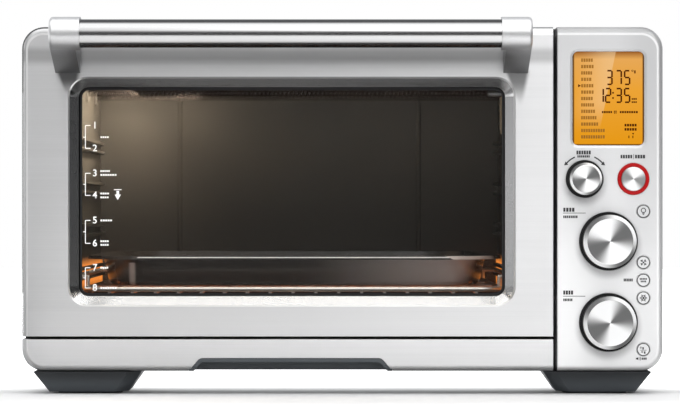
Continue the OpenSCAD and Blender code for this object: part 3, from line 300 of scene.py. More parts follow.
# Base pan, rear panel and fittings
# Zinc-plated sheet, folded and screwed to the shell, and turned or stamped steel fittings with the same
# plating: a faint spangle and a grey bloom.
zinc = Finish("zinc_plate_finish", metallic=1.0)
spangle = zinc.add("ShaderNodeTexVoronoi", {}, {"Vector": zinc.place, "Scale": 130.0}, "Color")
frost = zinc.noise((240, 240, 240), 3)
zinc.feed("Base Color", zinc.mix(spangle, (0.46, 0.47, 0.48), (0.56, 0.57, 0.58)))
zinc.feed("Roughness", 0.34 + frost * 0.16 + spangle * 0.06)
zinc.relief(frost, 0.00002, 0.0004)
zinc.on(
    "handle_screws", "hinge_leaves", "hinge_brackets", "hinge_pins", "case_screws", "base_pan", "rear_panel",
    "tray_runners", "fan_housing", "temperature_probe", "select_spindle", "encoders"
)

# Feet and gland
# Feet moulded from slate grey plastic with a fine grain, on black rubber pads. The drawer's grip is the same
# plastic. The gland in the rear panel and the gasket of the pane are rubber like the pads.
slate = Finish("slate_plastic_finish", specular_ior_level=0.45)
grain = slate.noise((1100, 1100, 1100), 2)
wash = slate.noise((25, 25, 25), 2)
z = slate.axes()[2]
# The feet are painted darker towards their tops, a painted shadow of the body above them.
shade = slate.step(z, 0.004, 0.018) * (z < 0.0205)
moulded = slate.mix(grain * 0.4 + wash * 0.6, (0.055, 0.064, 0.072), (0.08, 0.09, 0.1))
slate.feed("Base Color", slate.mix(shade * 0.75, moulded, (0.012, 0.013, 0.015)))
slate.feed("Roughness", 0.42 + grain * 0.18)
slate.relief(grain, 0.00004, 0.0008)
slate.on("drawer_grip", "front_feet", "rear_feet")
rubber = Finish("black_rubber_finish", specular_ior_level=0.3)
dust = rubber.noise((700, 700, 700), 3)
rubber.feed("Base Color", rubber.mix(dust, (0.008, 0.008, 0.009), (0.022, 0.022, 0.023)))
rubber.feed("Roughness", 0.55 + dust * 0.25)
rubber.relief(dust, 0.00003)
rubber.on("glass_gasket", "foot_pads", "cord_gland")

# Cooking cavity
# Walls of coated sheet, browned by use. They are painted darkest low down, a painted shade where the light
# inside falls off. The rails are pressed strips of the same sheet, and a red band on both side walls is a
# painted glow of the lower tubes.
liner = Finish("cavity_liner_finish", metallic=0.35, emission_strength=1.0)
stain = liner.noise((14, 14, 14), 4, 0.6)
speck = liner.noise((420, 420, 420), 2)
x, _, z = liner.axes()
sheet = liner.mix(stain * 0.7 + speck * 0.3, (0.13, 0.115, 0.095), (0.22, 0.195, 0.165))
# Painted shade: the walls are painted darker low down.
liner.feed("Base Color", liner.mix(liner.step(z, 0.12, 0.27), (0.045, 0.04, 0.034), sheet))
# Painted glow: a warm band on both side walls at the height of the lower tubes, standing for their light.
beside = (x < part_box("cavity_left_wall")[1].x + 0.002) + (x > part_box("cavity_right_wall")[0].x - 0.002)
painted_tube_glow = beside * liner.step(z, 0.078, 0.09) * (1 - liner.step(z, 0.102, 0.114))
liner.feed("Emission Color", liner.mix(painted_tube_glow, (0, 0, 0), (1.0, 0.3, 0.045)))
liner.feed("Roughness", 0.36 + stain * 0.2)
liner.relief(speck, 0.00003, 0.0006)
liner.on(
    "cavity_left_wall", "cavity_right_wall", "cavity_back_wall", "cavity_roof", "rack_rails", "fan_grille"
)

# Heating tubes
# Six quartz tubes in ceramic ends, four under the roof and two under the pan. Each holds a coil of
# resistance wire, and the lower two glow.
tube_low, tube_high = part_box("quartz_tubes")
tube_r = 0.0055
below_pan = 0.12
quartz = Finish("quartz_finish", ior=1.45, emission_strength=0.8)
milk = quartz.noise((30, 200, 200), 3)
lower = quartz.axes()[2] < below_pan
quartz.feed("Base Color", quartz.mix(milk, (0.06, 0.05, 0.045), (0.12, 0.1, 0.09)))
quartz.feed("Emission Color", quartz.mix(lower, (0.01, 0.003, 0.001), (1.0, 0.2, 0.025)))
quartz.feed("Roughness", 0.1 + milk * 0.2)
quartz.feed("Alpha", 0.06 + lower * 0.26 + milk * 0.06)
quartz.on("quartz_tubes")
coil = Finish("coil_finish", metallic=0.7, roughness=0.5, emission_strength=3.0)
scale = coil.noise((300, 300, 300), 2)
hot = coil.axes()[2] < below_pan
coil.feed("Base Color", coil.mix(scale, (0.04, 0.036, 0.034), (0.08, 0.07, 0.062)))
coil.feed("Emission Color", coil.mix(hot, (0, 0, 0), (1.0, 0.28, 0.05)))
row_pitch = (tube_high.y - tube_low.y - 2 * tube_r) / 3
rows = [(tube_low.y + tube_r + i * row_pitch, tube_high.z - tube_r) for i in range(4)]
rows += [(tube_low.y + tube_r + (i + 0.5) * row_pitch, tube_low.z + tube_r) for i in (0, 2)]
wind_r = 0.0026
wind_pitch = 0.004
wire_r = 0.0005
bare_end = 0.012
wind_from = tube_low.x + bare_end
turns = int((tube_high.x - tube_low.x - 2 * bare_end) / wind_pitch)
bpy.ops.object.select_all(action="DESELECT")
bpy.ops.mesh.primitive_circle_add(
    vertices=5, radius=wire_r, location=(wind_from, rows[0][0], rows[0][1] + wind_r),
    rotation=(math.pi / 2, 0, 0)
)
first_coil = bpy.context.object
bpy.context.scene.cursor.location = (wind_from, rows[0][0], rows[0][1])
bpy.ops.object.origin_set(type="ORIGIN_CURSOR")
bpy.ops.object.transform_apply(location=False, rotation=True, scale=True)
bpy.ops.object.modifier_add(type="SCREW")
screw = first_coil.modifiers[-1]
screw.axis = "X"
screw.angle = 2 * math.pi
screw.screw_offset = wind_pitch
screw.iterations = turns
screw.steps = 9
screw.render_steps = 9
bpy.ops.object.modifier_apply(modifier=screw.name)
for i, (y, z) in enumerate(rows):
    bpy.ops.object.select_all(action="DESELECT")
    wire = first_coil
    if i < len(rows) - 1:
        wire = first_coil.copy()
        wire.data = first_coil.data.copy()
        bpy.context.scene.collection.objects.link(wire)
    wire.name = "heater_coil_" + str(i + 1)
    wire.location = (wind_from, y, z)
    wire.select_set(True)
    bpy.context.view_layer.objects.active = wire
    bpy.ops.object.transform_apply(location=True, rotation=False, scale=False)
    bpy.ops.object.mode_set(mode="EDIT")
    bpy.ops.mesh.select_all(action="SELECT")
    bpy.ops.mesh.normals_make_consistent(inside=False)
    bpy.ops.object.mode_set(mode="OBJECT")
    bpy.ops.object.shade_smooth()
    wire.data.materials.append(coil.material)
    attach(wire, "housing")
ceramic = Finish("ceramic_finish")
pore = ceramic.noise((500, 500, 500), 3)
ceramic.feed("Base Color", ceramic.mix(pore, (0.2, 0.18, 0.155), (0.3, 0.275, 0.24)))
ceramic.feed("Roughness", 0.6 + pore * 0.2)
ceramic.relief(pore, 0.00004, 0.0005)
ceramic.on("ceramic_ends", "lamp_holder")

# Lamp and fan
# A ribbed glass lens over a small bulb in the right wall, and the fan's wheel and iron motor behind their
# grille. Three strip lamps that are no piece of the oven fill in the light inside.
lens_glass = Finish("lamp_glass_finish", roughness=0.2, ior=1.45, emission_strength=0.1)
ripple = lens_glass.noise((80, 80, 80), 2)
lens_glass.feed("Base Color", lens_glass.mix(ripple, (0.2, 0.18, 0.14), (0.3, 0.27, 0.22)))
lens_glass.feed("Emission Color", lens_glass.mix(ripple, (1.0, 0.72, 0.42), (1.0, 0.82, 0.58)))
lens_glass.on("lamp_lens", "lamp_bulb")
lamp_low, lamp_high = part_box("lamp_lens")
oven_lamp = studio_lamp(
    "oven_lamp", (lamp_low.x - 0.004, (lamp_low.y + lamp_high.y) / 2, (lamp_low.z + lamp_high.z) / 2),
    (-0.24, -0.02, 0.2), 0.04, 0.03, 60, (1.0, 0.82, 0.56)
)
oven_lamp.data.spread = math.radians(80)
oven_lamp.visible_glossy = False
for name, place, aim, width, depth, glow in (
    ("wall_glow", (-0.19, -0.005, 0.262), (-0.235, -0.005, 0.225), 0.25, 0.02, 42),
    ("corner_glow", (-0.185, 0.135, 0.266), (-0.18, 0.175, 0.238), 0.09, 0.02, 12),
    ("rack_glow", (-0.043, -0.138, 0.19), (-0.043, -0.112, 0.088), 0.34, 0.012, 8)
):
    strip = studio_lamp(name, place, aim, width, depth, glow, (1.0, 0.87, 0.7))
    strip.visible_glossy = name == "rack_glow"
iron = Finish("motor_iron_finish", metallic=0.8)
rust = iron.noise((120, 120, 120), 4)
iron.feed("Base Color", iron.mix(rust, (0.12, 0.12, 0.125), (0.22, 0.21, 0.2)))
iron.feed("Roughness", 0.45 + rust * 0.25)
iron.relief(rust, 0.00005)
iron.on("fan_motor", "fan_wheel")

# Rack and pan
# A welded and chromed wire rack with a dropped platform on the lowest rails, and a pressed pan of dark
# speckled enamel on it. Its front wall is painted lighter towards the right, with a painted highlight strip
# near the left, and its front lip is painted dark round a painted highlight line.
chrome = Finish("rack_wire_finish", metallic=0.8)
blue = chrome.noise((40, 40, 40), 3)
chrome.feed("Base Color", chrome.mix(blue, (0.78, 0.75, 0.7), (0.92, 0.9, 0.87)))
chrome.feed("Roughness", 0.3 + blue * 0.14)
chrome.on("wire_rack")
enamel = Finish("pan_enamel_finish", coat_roughness=0.1)
fleck = enamel.noise((600, 600, 600), 3)
haze = enamel.noise((12, 12, 12), 3)
enamel_and_painted_light = enamel.mix(fleck * 0.5 + haze * 0.5, (0.032, 0.027, 0.024), (0.052, 0.044, 0.04))
x, y, z = enamel.axes()
pan_low, pan_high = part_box("roasting_pan")
# Painted light: the pan's front wall is painted lighter towards the right.
before = 1 - enamel.step(y, pan_low.y + 0.02, pan_low.y + 0.035)
enamel_and_painted_light = enamel.mix(enamel.step(x, -0.05, 0.15) * before, enamel_and_painted_light, (0.75, 0.66, 0.62))
# Painted highlight: a light line along the pan's front lip, with the rest of the lip painted dark, a painted
# shade.
lip = (y < pan_low.y + 0.0016) * (z > pan_high.z - 0.0034)
below = pan_high.z - z
rim_highlight = lip * enamel.step(below, 0.0004, 0.0009) * (1 - enamel.step(below, 0.0013, 0.0017))
# Painted highlight: a narrow light strip near the left end of the pan's front wall.
glint = enamel.step(x, -0.19, -0.187) * (1 - enamel.step(x, -0.185, -0.182)) * before
enamel_and_painted_light = enamel.mix(glint * (z < pan_high.z - 0.006), enamel_and_painted_light, (0.75, 0.7, 0.66))
enamel_and_painted_light = enamel.mix(lip, enamel_and_painted_light, (0.006, 0.006, 0.006))
enamel.feed("Base Color", enamel.mix(rim_highlight, enamel_and_painted_light, (0.85, 0.84, 0.83)))
enamel.feed("Coat Weight", 0.4 - lip * 0.4)
enamel.feed("Roughness", 0.16 + haze * 0.14 + lip * 0.5)
enamel.relief(haze, 0.0002, 0.0008)
enamel.on("roasting_pan")


# Crumb tray and drawer front
# A folded aluminium tray behind a front of brushed steel, with a moulded grip let into its lower edge. A
# painted highlight line runs where the flat of the front starts to roll over, on the drawer, the door and the
# panel.
def roll_highlight(finish):
    # The painted highlight follows a set depth inside the outline of the front, which has round corners.
    low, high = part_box("outer_shell")
    corner = 0.019
    drop = 0.0008
    x, _, z = finish.axes()
    past = []
    for place, middle, half in (
        (x, 0.0, high.x), (z, (low.z + high.z) / 2 - drop, (high.z - low.z) / 2 - drop)
    ):
        past.append((place - middle).work("ABSOLUTE") - (half - corner))
    beyond = [far.work("MAXIMUM") for far in past]
    reach = (beyond[0] * beyond[0] + beyond[1] * beyond[1]).work("SQRT")
    within = past[0].work("MAXIMUM", past[1]).work("MINIMUM")
    depth = corner - reach - within
    line = finish.step(depth, 0.0032, 0.0042) * (1 - finish.step(depth, 0.005, 0.006))
    return line * finish.step(z, low.z + 0.006, low.z + 0.016)


tray = Finish("tray_metal_finish", metallic=1.0)
scuff = tray.noise((16, 180, 180), 3)
tray.feed("Base Color", tray.mix(scuff, (0.52, 0.52, 0.53), (0.68, 0.68, 0.69)))
tray.feed("Roughness", 0.3 + scuff * 0.2)
tray.relief(scuff, 0.00003, 0.0004)
tray.on("crumb_tray")
drawer = brushed_steel("drawer_steel_finish", (0.84, 0.84, 0.845), 0.35, 0.85, 0.9)
# A painted highlight line where the drawer's front starts to roll over.
drawer.feed("Base Color", drawer.mix(roll_highlight(drawer) * 0.8, drawer.tone, (1, 1, 1)))
drawer.on("drawer_front")

# Door
# A pressed panel of brushed sheet with a sunk, bevelled window, the inner panel that closes it from behind,
# and the glass between them on a black gasket. The soft shade that the handle and its arms throw on the panel
# is painted shade. The bevel's tones are a painted reflection, with a painted highlight on its left rim, and
# the steel under the window is painted lighter.
door = brushed_steel("door_steel_finish", (0.73, 0.73, 0.735), 0.35, 1.0, 0.9)
x, y, z = door.axes()
pane_low, pane_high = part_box("door_glass")
# Painted reflection on the bevel: mid grey at the top and left, lighter at the right, near white at the
# bottom and darkest in the top-left corner. Its deepest edge by the glass is painted near black, a painted
# shade.
sunk = door.step(y, front_y + 0.0009, front_y + 0.0018)
lower = 1 - door.step(z, pane_low.z + 0.008, pane_low.z + 0.011)
far = door.step(x, pane_high.x - 0.012, pane_high.x - 0.008)
bevel_shading = door.mix(far, (0.3, 0.3, 0.302), (0.5, 0.5, 0.502))
bevel_shading = door.mix(lower, bevel_shading, (0.97, 0.97, 0.97))
near = 1 - door.step(x, pane_low.x + 0.005, pane_low.x + 0.011)
corner = near * door.step(z, pane_high.z - 0.0125, pane_high.z - 0.0105)
bevel_shading = door.mix(corner, bevel_shading, (0.07, 0.07, 0.07))
cut = door.step(y, pane_low.y - 0.0036, pane_low.y - 0.003)
bevel_shading = door.mix(cut, bevel_shading, (0.01, 0.01, 0.01))
# Painted light: the steel under the window is painted lighter.
foot = 1 - door.step(z, pane_low.z - 0.02, pane_low.z)
bar_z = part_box("handle_tube")[0].z
# Painted shade: a soft dark band on the panel just under the handle.
shade = door.step(z, bar_z - 0.014, bar_z - 0.006) * (1 - door.step(z, bar_z - 0.002, bar_z + 0.006))
front = door.mix(shade * 0.45, door.mix(foot * 0.15, door.tone, (1, 1, 1)), (0.16, 0.16, 0.16))
# A painted highlight line where the door's front starts to roll over.
front = door.mix(roll_highlight(door) * 0.9, front, (1, 1, 1))
# Painted shadow: a soft dark patch on the panel below each arm of the handle.
for name, left_shift, right_shift, reach, strength in (
    ("left_handle_bracket", 0.001, -0.0045, 0.0215, 0.82),
    ("right_handle_bracket", 0.005, -0.0005, 0.03, 0.7)
):
    low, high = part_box(name)
    left = low.x + left_shift
    right = high.x + right_shift
    below = low.z - z
    from_left = door.step(x - below * 0.4, left, left + 0.004)
    from_right = 1 - door.step(x + below * 0.2, right - 0.003, right + 0.002)
    down = door.step(below, -0.004, 0.0) * (1 - door.step(below, reach * 0.2, reach))
    front = door.mix(from_left * from_right * down * strength, front, (0.02, 0.02, 0.02))
# Painted highlight: a light line along the outer rim of the bevel on its left side.
beside = door.step(x, pane_low.x - 0.012, pane_low.x - 0.008)
rim = near * beside * door.step(y, front_y + 0.0001, front_y + 0.0003)
front = door.mix(rim, front, (1, 1, 1))
door.feed("Base Color", door.mix(sunk, front, bevel_shading))
door.feed("Roughness", door.wear - sunk * 0.16 + cut * 0.4)
door.on("door_panel")
inner = Finish("inner_panel_finish", metallic=1.0)
mottle = inner.noise((60, 60, 60), 4, 0.6)
x, _, z = inner.axes()
border = (x > pane_low.x) * (x < pane_high.x) * (z > pane_low.z) * (z < pane_high.z)
plate = inner.mix(mottle, (0.42, 0.43, 0.44), (0.58, 0.58, 0.59))
inner.feed("Base Color", inner.mix(border, plate, (0.015, 0.015, 0.015)))
inner.feed("Roughness", 0.3 + mottle * 0.2)
inner.relief(mottle, 0.00002, 0.0004)
inner.on("door_inner_panel", "glass_strips")
glass = Finish("door_glass_finish", roughness=0.03, ior=1.5)
smear = glass.noise((9, 9, 14), 3)
glass.feed("Base Color", glass.mix(smear, (0.05, 0.05, 0.048), (0.07, 0.068, 0.062)))
glass.feed("Alpha", 0.08 + smear * 0.03)
glass.on("door_glass")


# Shelf marks on the glass
# White enamel fired onto the pane: a bracket for each pair of shelves, the shelf numbers, and a short row of
# blocks where a label would stand. Every mark is a thin flat shape that lies on the face behind it.
def flat_bar(x, y, z, width, height, lean=0.0):
    turned = (math.pi / 2, math.radians(lean), 0)
    bpy.ops.mesh.primitive_plane_add(size=1, location=(x, y, z), rotation=turned)
    strip = bpy.context.object
    strip.scale = (width, height, 1)
    return strip


def flat_ring(x, y, z, outer, inner, sides=36):
    bpy.ops.mesh.primitive_circle_add(
        vertices=sides, radius=outer, fill_type="NGON", location=(x, y, z), rotation=(math.pi / 2, 0, 0)
    )
    hoop = bpy.context.object
    bpy.ops.object.mode_set(mode="EDIT")
    bpy.ops.mesh.inset(thickness=outer - inner)
    bpy.ops.mesh.delete(type="FACE")
    bpy.ops.object.mode_set(mode="OBJECT")
    return hoop


def flat_arc(x, y, z, outer, inner, first, last):
    bow = flat_ring(0, 0, 0, outer, inner, 72)
    bpy.ops.object.transform_apply(location=False, rotation=True, scale=False)
    bpy.ops.object.mode_set(mode="EDIT")
    for angle, side in ((first, 1), (last, -1)):
        way = math.radians(angle)
        bpy.ops.mesh.select_all(action="SELECT")
        bpy.ops.mesh.bisect(
            plane_co=(0, 0, 0), plane_no=(-math.sin(way) * side, 0, math.cos(way) * side), clear_inner=True
        )
    bpy.ops.object.mode_set(mode="OBJECT")
    bow.location = (x, y, z)
    return bow


def flat_tip(x, y, z, size, lean=0.0, sides=3):
    bpy.ops.mesh.primitive_circle_add(
        vertices=sides, radius=size, fill_type="NGON", location=(x, y, z),
        rotation=(math.pi / 2, math.radians(lean), 0)
    )
    return bpy.context.object


def flat_number(x, y, z, digits, height):
    bpy.ops.object.text_add(rotation=(math.pi / 2, 0, 0))
    figure = bpy.context.object
    figure.data.body = digits
    figure.data.align_x = "CENTER"
    figure.data.align_y = "CENTER"
    figure.data.size = height / 0.7
    figure.data.offset = height * 0.025
    bpy.ops.object.convert(target="MESH")
    figure = bpy.context.object
    figure.location = (x, y, z)
    return figure


def label_blocks(left, y, z, right, height, count):
    room_each = (right - left) / count
    return [
        flat_bar(left + (i + 0.45) * room_each, y, z, room_each * (0.72 + 0.1 * (i % 2)), height)
        for i in range(count)
    ]


def print_on(name, body, finish, shapes):
    bpy.context.view_layer.update()
    bpy.ops.object.select_all(action="DESELECT")
    for shape in shapes:
        shape.select_set(True)
    mark = shapes[0]
    bpy.context.view_layer.objects.active = mark
    bpy.ops.object.join()
    bpy.ops.object.transform_apply(location=True, rotation=True, scale=True)
    bpy.ops.object.modifier_add(type="SOLIDIFY")
    film = mark.modifiers[-1]
    film.thickness = 0.00005
    film.offset = 1
    bpy.ops.object.modifier_apply(modifier=film.name)
    mark.name = name
    mark.data.materials.clear()
    mark.data.materials.append(finish.material)
    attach(mark, body)


# The white marks also glow faintly, a painted light that keeps them bright on the glass.
white_ink_and_glow = Finish("white_ink_and_glow_finish", roughness=0.5, emission_strength=1.0)
screen = white_ink_and_glow.noise((1500, 1500, 1500), 2)
white_ink_and_glow.feed("Base Color", white_ink_and_glow.mix(screen, (0.8, 0.8, 0.79), (0.92, 0.92, 0.91)))
white_ink_and_glow.feed("Emission Color", white_ink_and_glow.mix(screen, (0.28, 0.28, 0.27), (0.36, 0.36, 0.35)))
print_gap = 0.00003
pane_y = pane_low.y - print_gap
bar_x = pane_low.x + 0.0117
line_w = 0.0007
hook = 0.0044
shapes = []
for low, high, middle in (
    (0.1329, 0.1524, 0.1424), (0.0926, 0.1115, 0.1021), (0.0516, 0.0712, 0.0614), (0.0134, 0.0307, 0.0221)
):
    low += pane_low.z
    high += pane_low.z
    middle += pane_low.z
    shapes.append(flat_bar(bar_x, pane_y, (low + high) / 2, line_w, high - low))
    for end in (low, high):
        shapes.append(flat_bar(bar_x + hook / 2, pane_y, end, hook, line_w))
    shapes.append(flat_bar(bar_x - 0.001, pane_y, middle, 0.002, line_w))
for i, height in enumerate((0.1524, 0.1329, 0.1115, 0.0926, 0.0712, 0.0516, 0.0307, 0.0134)):
    shapes.append(flat_number(bar_x + 0.0081, pane_y, pane_low.z + height, str(i + 1), 0.0057))
for height, length, count in (
    (0.1424, 0.0075, 4), (0.1134, 0.0085, 5), (0.1101, 0.0142, 7), (0.0942, 0.0078, 4), (0.0909, 0.0074, 4),
    (0.0712, 0.0104, 5), (0.0534, 0.0074, 4), (0.0503, 0.0074, 4), (0.0307, 0.007, 4), (0.0134, 0.0142, 7)
):
    left = bar_x + 0.0127
    shapes += label_blocks(left, pane_y, pane_low.z + height, left + length, 0.0015, count)
arrow_x = bar_x + 0.0277
shapes.append(flat_bar(arrow_x, pane_y, pane_low.z + 0.0975, 0.0066, line_w))
shapes.append(flat_bar(arrow_x, pane_y, pane_low.z + 0.0947, 0.0022, 0.0036))
shapes.append(flat_tip(arrow_x, pane_y, pane_low.z + 0.0918, 0.0031, 180))
print_on("shelf_marks", "door", white_ink_and_glow, shapes)

# Handle
# A polished stainless tube held between two satin cast end caps, each with an arm that two screws hold to
# the door from behind. The tube's sides and back and the arms below the caps are painted dark, a painted
# shade.
polish = Finish("polished_tube_finish", metallic=1.0)
hair = polish.noise((3, 1600, 1600), 2)
tube_low, tube_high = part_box("handle_tube")
depth = tube_high.y - tube_low.y
# Painted shade: the tube is painted dark everywhere but a strip along its front.
behind = polish.step(polish.axes()[1], tube_low.y + depth * 0.08, tube_low.y + depth * 0.17)
bright = polish.mix(hair, (0.52, 0.52, 0.522), (0.6, 0.6, 0.602))
polish.feed("Base Color", polish.mix(behind, bright, (0.12, 0.12, 0.122)))
polish.feed("Roughness", 0.17 + hair * 0.08)
polish.on("handle_tube")
satin = Finish("satin_cast_finish", metallic=1.0)
bead = satin.noise((900, 900, 900), 2)
# Painted shade: the arms below the caps are painted dark.
arm = satin.step(tube_low.z - satin.axes()[2], -0.014, 0.008)
light = satin.mix(bead, (0.76, 0.76, 0.765), (0.88, 0.88, 0.885))
dark = satin.mix(bead, (0.19, 0.19, 0.193), (0.26, 0.26, 0.263))
satin.feed("Base Color", satin.mix(arm, light, dark))
satin.feed("Roughness", 0.38 + bead * 0.1)
satin.relief(bead, 0.00002, 0.0008)
satin.on("left_handle_bracket", "right_handle_bracket")

# Control panel
# A silver moulding with the same brushed look as the door, cut out for the display, the dials and the keys,
# with black wells round the dials. Labels are printed as plain blocks, with arcs round the upper dial. The
# moulding's colour carries painted light and shade: lighter low down, darker high up and at the right, a
# painted shadow under each dial, painted dark rolled edges and a painted highlight line.
centres = {
    name: tuple((a + b) / 2 for a, b in zip(*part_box(name)))
    for name in ("select_dial", "temperature_dial", "time_dial", "start_button", "phase_key", "unit_key")
}
silver = brushed_steel("panel_finish", (0.72, 0.72, 0.725), 0.35, 0.35, 0.9)
low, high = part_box("control_panel")
x, _, z = silver.axes()
# Painted light and shade: the panel is painted lighter towards the bottom, darker towards the top and darker
# near its right edge.
rise = silver.step(z, low.z, high.z)
pale = silver.mix(0.75 - rise * 0.5, silver.tone, (1, 1, 1))
shade = rise * 0.72 + silver.step(x, high.x - 0.045, high.x - 0.01) * 0.25
# Painted shadow: a soft dark disc on the panel just below each dial.
for name in ("select_dial", "temperature_dial", "time_dial"):
    dx = x - centres[name][0]
    dz = z - centres[name][2] + 0.004
    far = (dx * dx + dz * dz).work("SQRT")
    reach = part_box(name)[1].x - centres[name][0]
    shade = shade + (1 - silver.step(far, reach, reach + 0.008)) * 0.6
# Painted shade: the rolled edges at the right and bottom and a band along the top are painted dark.
rolled = silver.step(x, high.x - 0.004, high.x) * 0.6 + (1 - silver.step(z, low.z, low.z + 0.005))
rolled = rolled + silver.step(z, high.z - 0.0048, high.z - 0.004) * 0.42
face = silver.mix(shade, pale, (0.45, 0.45, 0.455))
# A painted highlight line where the panel's front starts to roll over.
face = silver.mix(roll_highlight(silver) * 0.5, face, (1, 1, 1))
silver.feed("Base Color", silver.mix(rolled * 0.8, face, (0.12, 0.12, 0.122)))
silver.on("control_panel", "light_key", "fan_key", "phase_key", "frozen_key", "unit_key")
well = Finish("dial_well_finish", specular_ior_level=0.35)
matt = well.noise((800, 800, 800), 2)
well.feed("Base Color", well.mix(matt, (0.004, 0.004, 0.004), (0.012, 0.012, 0.013)))
well.feed("Roughness", 0.5 + matt * 0.2)
well.on("dial_wells")
black_ink = Finish("black_ink_finish", roughness=0.55)
speckle = black_ink.noise((1500, 1500, 1500), 2)
black_ink.feed("Base Color", black_ink.mix(speckle, (0.012, 0.012, 0.013), (0.03, 0.03, 0.032)))
face_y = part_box("control_panel")[0].y - print_gap
shapes = []
for name, left, right, rise, height, count in (
    ("select_dial", -0.0071, 0.0055, 0.0225, 0.0032, 6), ("select_dial", -0.0063, 0.0047, 0.0192, 0.0019, 7),
    ("start_button", -0.0111, -0.0007, 0.019, 0.003, 5), ("start_button", 0.0012, 0.0102, 0.019, 0.003, 4),
    ("temperature_dial", -0.0386, -0.0286, 0.0268, 0.0034, 4),
    ("temperature_dial", -0.0386, -0.0261, 0.0208, 0.0022, 8),
    ("time_dial", -0.0386, -0.0298, 0.0254, 0.0034, 4), ("time_dial", -0.0386, -0.0305, 0.0192, 0.0022, 6),
    ("phase_key", -0.0169, -0.0089, 0.0002, 0.0024, 6), ("unit_key", -0.0016, 0.003, -0.0078, 0.0018, 3)
):
    middle = centres[name]
    shapes += label_blocks(middle[0] + left, face_y, middle[2] + rise, middle[0] + right, height, count)
for name, along, rise, width, height in (
    ("start_button", 0.0002, 0.019, 0.0004, 0.0042), ("temperature_dial", -0.029, 0.024, 0.0193, 0.0005),
    ("time_dial", -0.0292, 0.0223, 0.0189, 0.0005), ("unit_key", -0.006, -0.0078, 0.0008, 0.0013)
):
    middle = centres[name]
    shapes.append(flat_bar(middle[0] + along, face_y, middle[2] + rise, width, height))
dial_x, _, dial_z = centres["select_dial"]
turn_r = 0.0204
for first, last, tip, lean in ((114, 139, 141, 231), (41, 66, 39, 129)):
    way = math.radians(tip)
    tip_x = dial_x + turn_r * math.cos(way)
    tip_z = dial_z + turn_r * math.sin(way)
    shapes.append(flat_arc(dial_x, face_y, dial_z, turn_r + 0.0005, turn_r - 0.0006, first, last))
    shapes.append(flat_tip(tip_x, face_y, tip_z, 0.0021, lean))
horn_x = centres["unit_key"][0] - 0.005
horn_z = centres["unit_key"][2] - 0.0078
shapes.append(flat_tip(horn_x, face_y, horn_z, 0.0015, 270))
for outer in (0.0016, 0.0024):
    shapes.append(flat_arc(horn_x + 0.0006, face_y, horn_z, outer, outer - 0.0004, -45, 45))
print_on("panel_marks", "housing", black_ink, shapes)

# Dials and start button
# Aluminium caps turned on a lathe, whose faces keep fine rings. The light cones that such rings throw are
# painted into the colour: two opposite cones on the face and, as the chamfer is cut last, two on the chamfer
# that lie the other way, so they turn with the dial. The caps' sides are painted near black, a painted shade.
# The start button stands in a red moulded ring.
for name, face_lean, rim_lean, dark in (
    ("select_dial", 118, 40, 0.12), ("temperature_dial", 118, 40, 0.12), ("time_dial", 118, 40, 0.12),
    ("start_button", 75, 75, 0.26)
):
    middle = centres[name]
    low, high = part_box(name)
    spun = Finish(name + "_finish", metallic=0.1, specular_ior_level=0.25)
    x, y, z = spun.axes()
    dx = x - middle[0]
    dz = z - middle[2]
    far = (dx * dx + dz * dz).work("SQRT")
    turn = dz.work("ARCTAN2", dx)
    rings = spun.add("ShaderNodeTexNoise", {"noise_dimensions": "1D"}, {"W": far * 4200.0, "Detail": 2.0})
    # Painted highlight: light and dark cones around each cap's centre, one pair on the face and one on the
    # chamfer.
    cones = []
    for lean in (face_lean, rim_lean):
        swing = (turn - math.radians(lean)) * 2.0 + (rings - 0.5) * 0.25
        cones.append(spun.step(swing.work("COSINE"), -0.95, 0.6))
    outer = far > (high.x - low.x) * 0.5 * 0.86
    cone = cones[0] + outer * (cones[1] - cones[0])
    turned = spun.mix(cone, (dark, dark, dark), (0.96, 0.96, 0.96))
    flat = spun.mix(rings * 0.12, turned, (0.5, 0.5, 0.5))
    # Painted shade: the side of each cap behind its face is painted near black.
    spun.feed("Base Color", spun.mix(y > low.y + 0.003, flat, (0.03, 0.03, 0.03)))
    spun.feed("Roughness", 0.26 + rings * 0.12)
    spun.relief(rings, 0.000005, 0.0003)
    spun.on(name)
red = Finish("red_ring_finish", specular_ior_level=0.15, roughness=0.35)
tint = red.noise((200, 200, 200), 2)
red.feed("Base Color", red.mix(tint, (0.38, 0.003, 0.004), (0.45, 0.005, 0.006)))
red.on("start_ring")

# Keys
# Five round keys of the panel's own finish, each with a thin dark ring and a printed sign: a lamp, a fan,
# two lines, a snow crystal, and a pair of degree marks.
signs = {}
for name in ("light_key", "fan_key", "phase_key", "frozen_key", "unit_key"):
    low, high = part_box(name)
    signs[name] = ((low.x + high.x) / 2, low.y - print_gap, (low.z + high.z) / 2)
kx, ky, kz = signs["light_key"]
bulb = [flat_ring(kx, ky, kz + 0.0008, 0.0022, 0.0015)]
bulb.append(flat_bar(kx, ky, kz - 0.0018, 0.002, 0.0006))
bulb.append(flat_bar(kx, ky, kz - 0.0027, 0.0014, 0.0006))
kx, ky, kz = signs["fan_key"]
blades = [flat_tip(kx, ky, kz, 0.0007, 0, 12)]
for lean in (45, 135, 225, 315):
    way = math.radians(lean)
    along = 0.002 * math.sin(way)
    rise = 0.002 * math.cos(way)
    blades.append(flat_tip(kx + along, ky, kz + rise, 0.0014, lean + 200))
kx, ky, kz = signs["phase_key"]
lines = label_blocks(kx - 0.0032, ky, kz + 0.0011, kx + 0.0032, 0.0014, 5)
lines += label_blocks(kx - 0.0024, ky, kz - 0.0011, kx + 0.0024, 0.0014, 4)
kx, ky, kz = signs["frozen_key"]
crystal = []
for lean in (0, 60, 120):
    crystal.append(flat_bar(kx, ky, kz, 0.0064, 0.0006, lean))
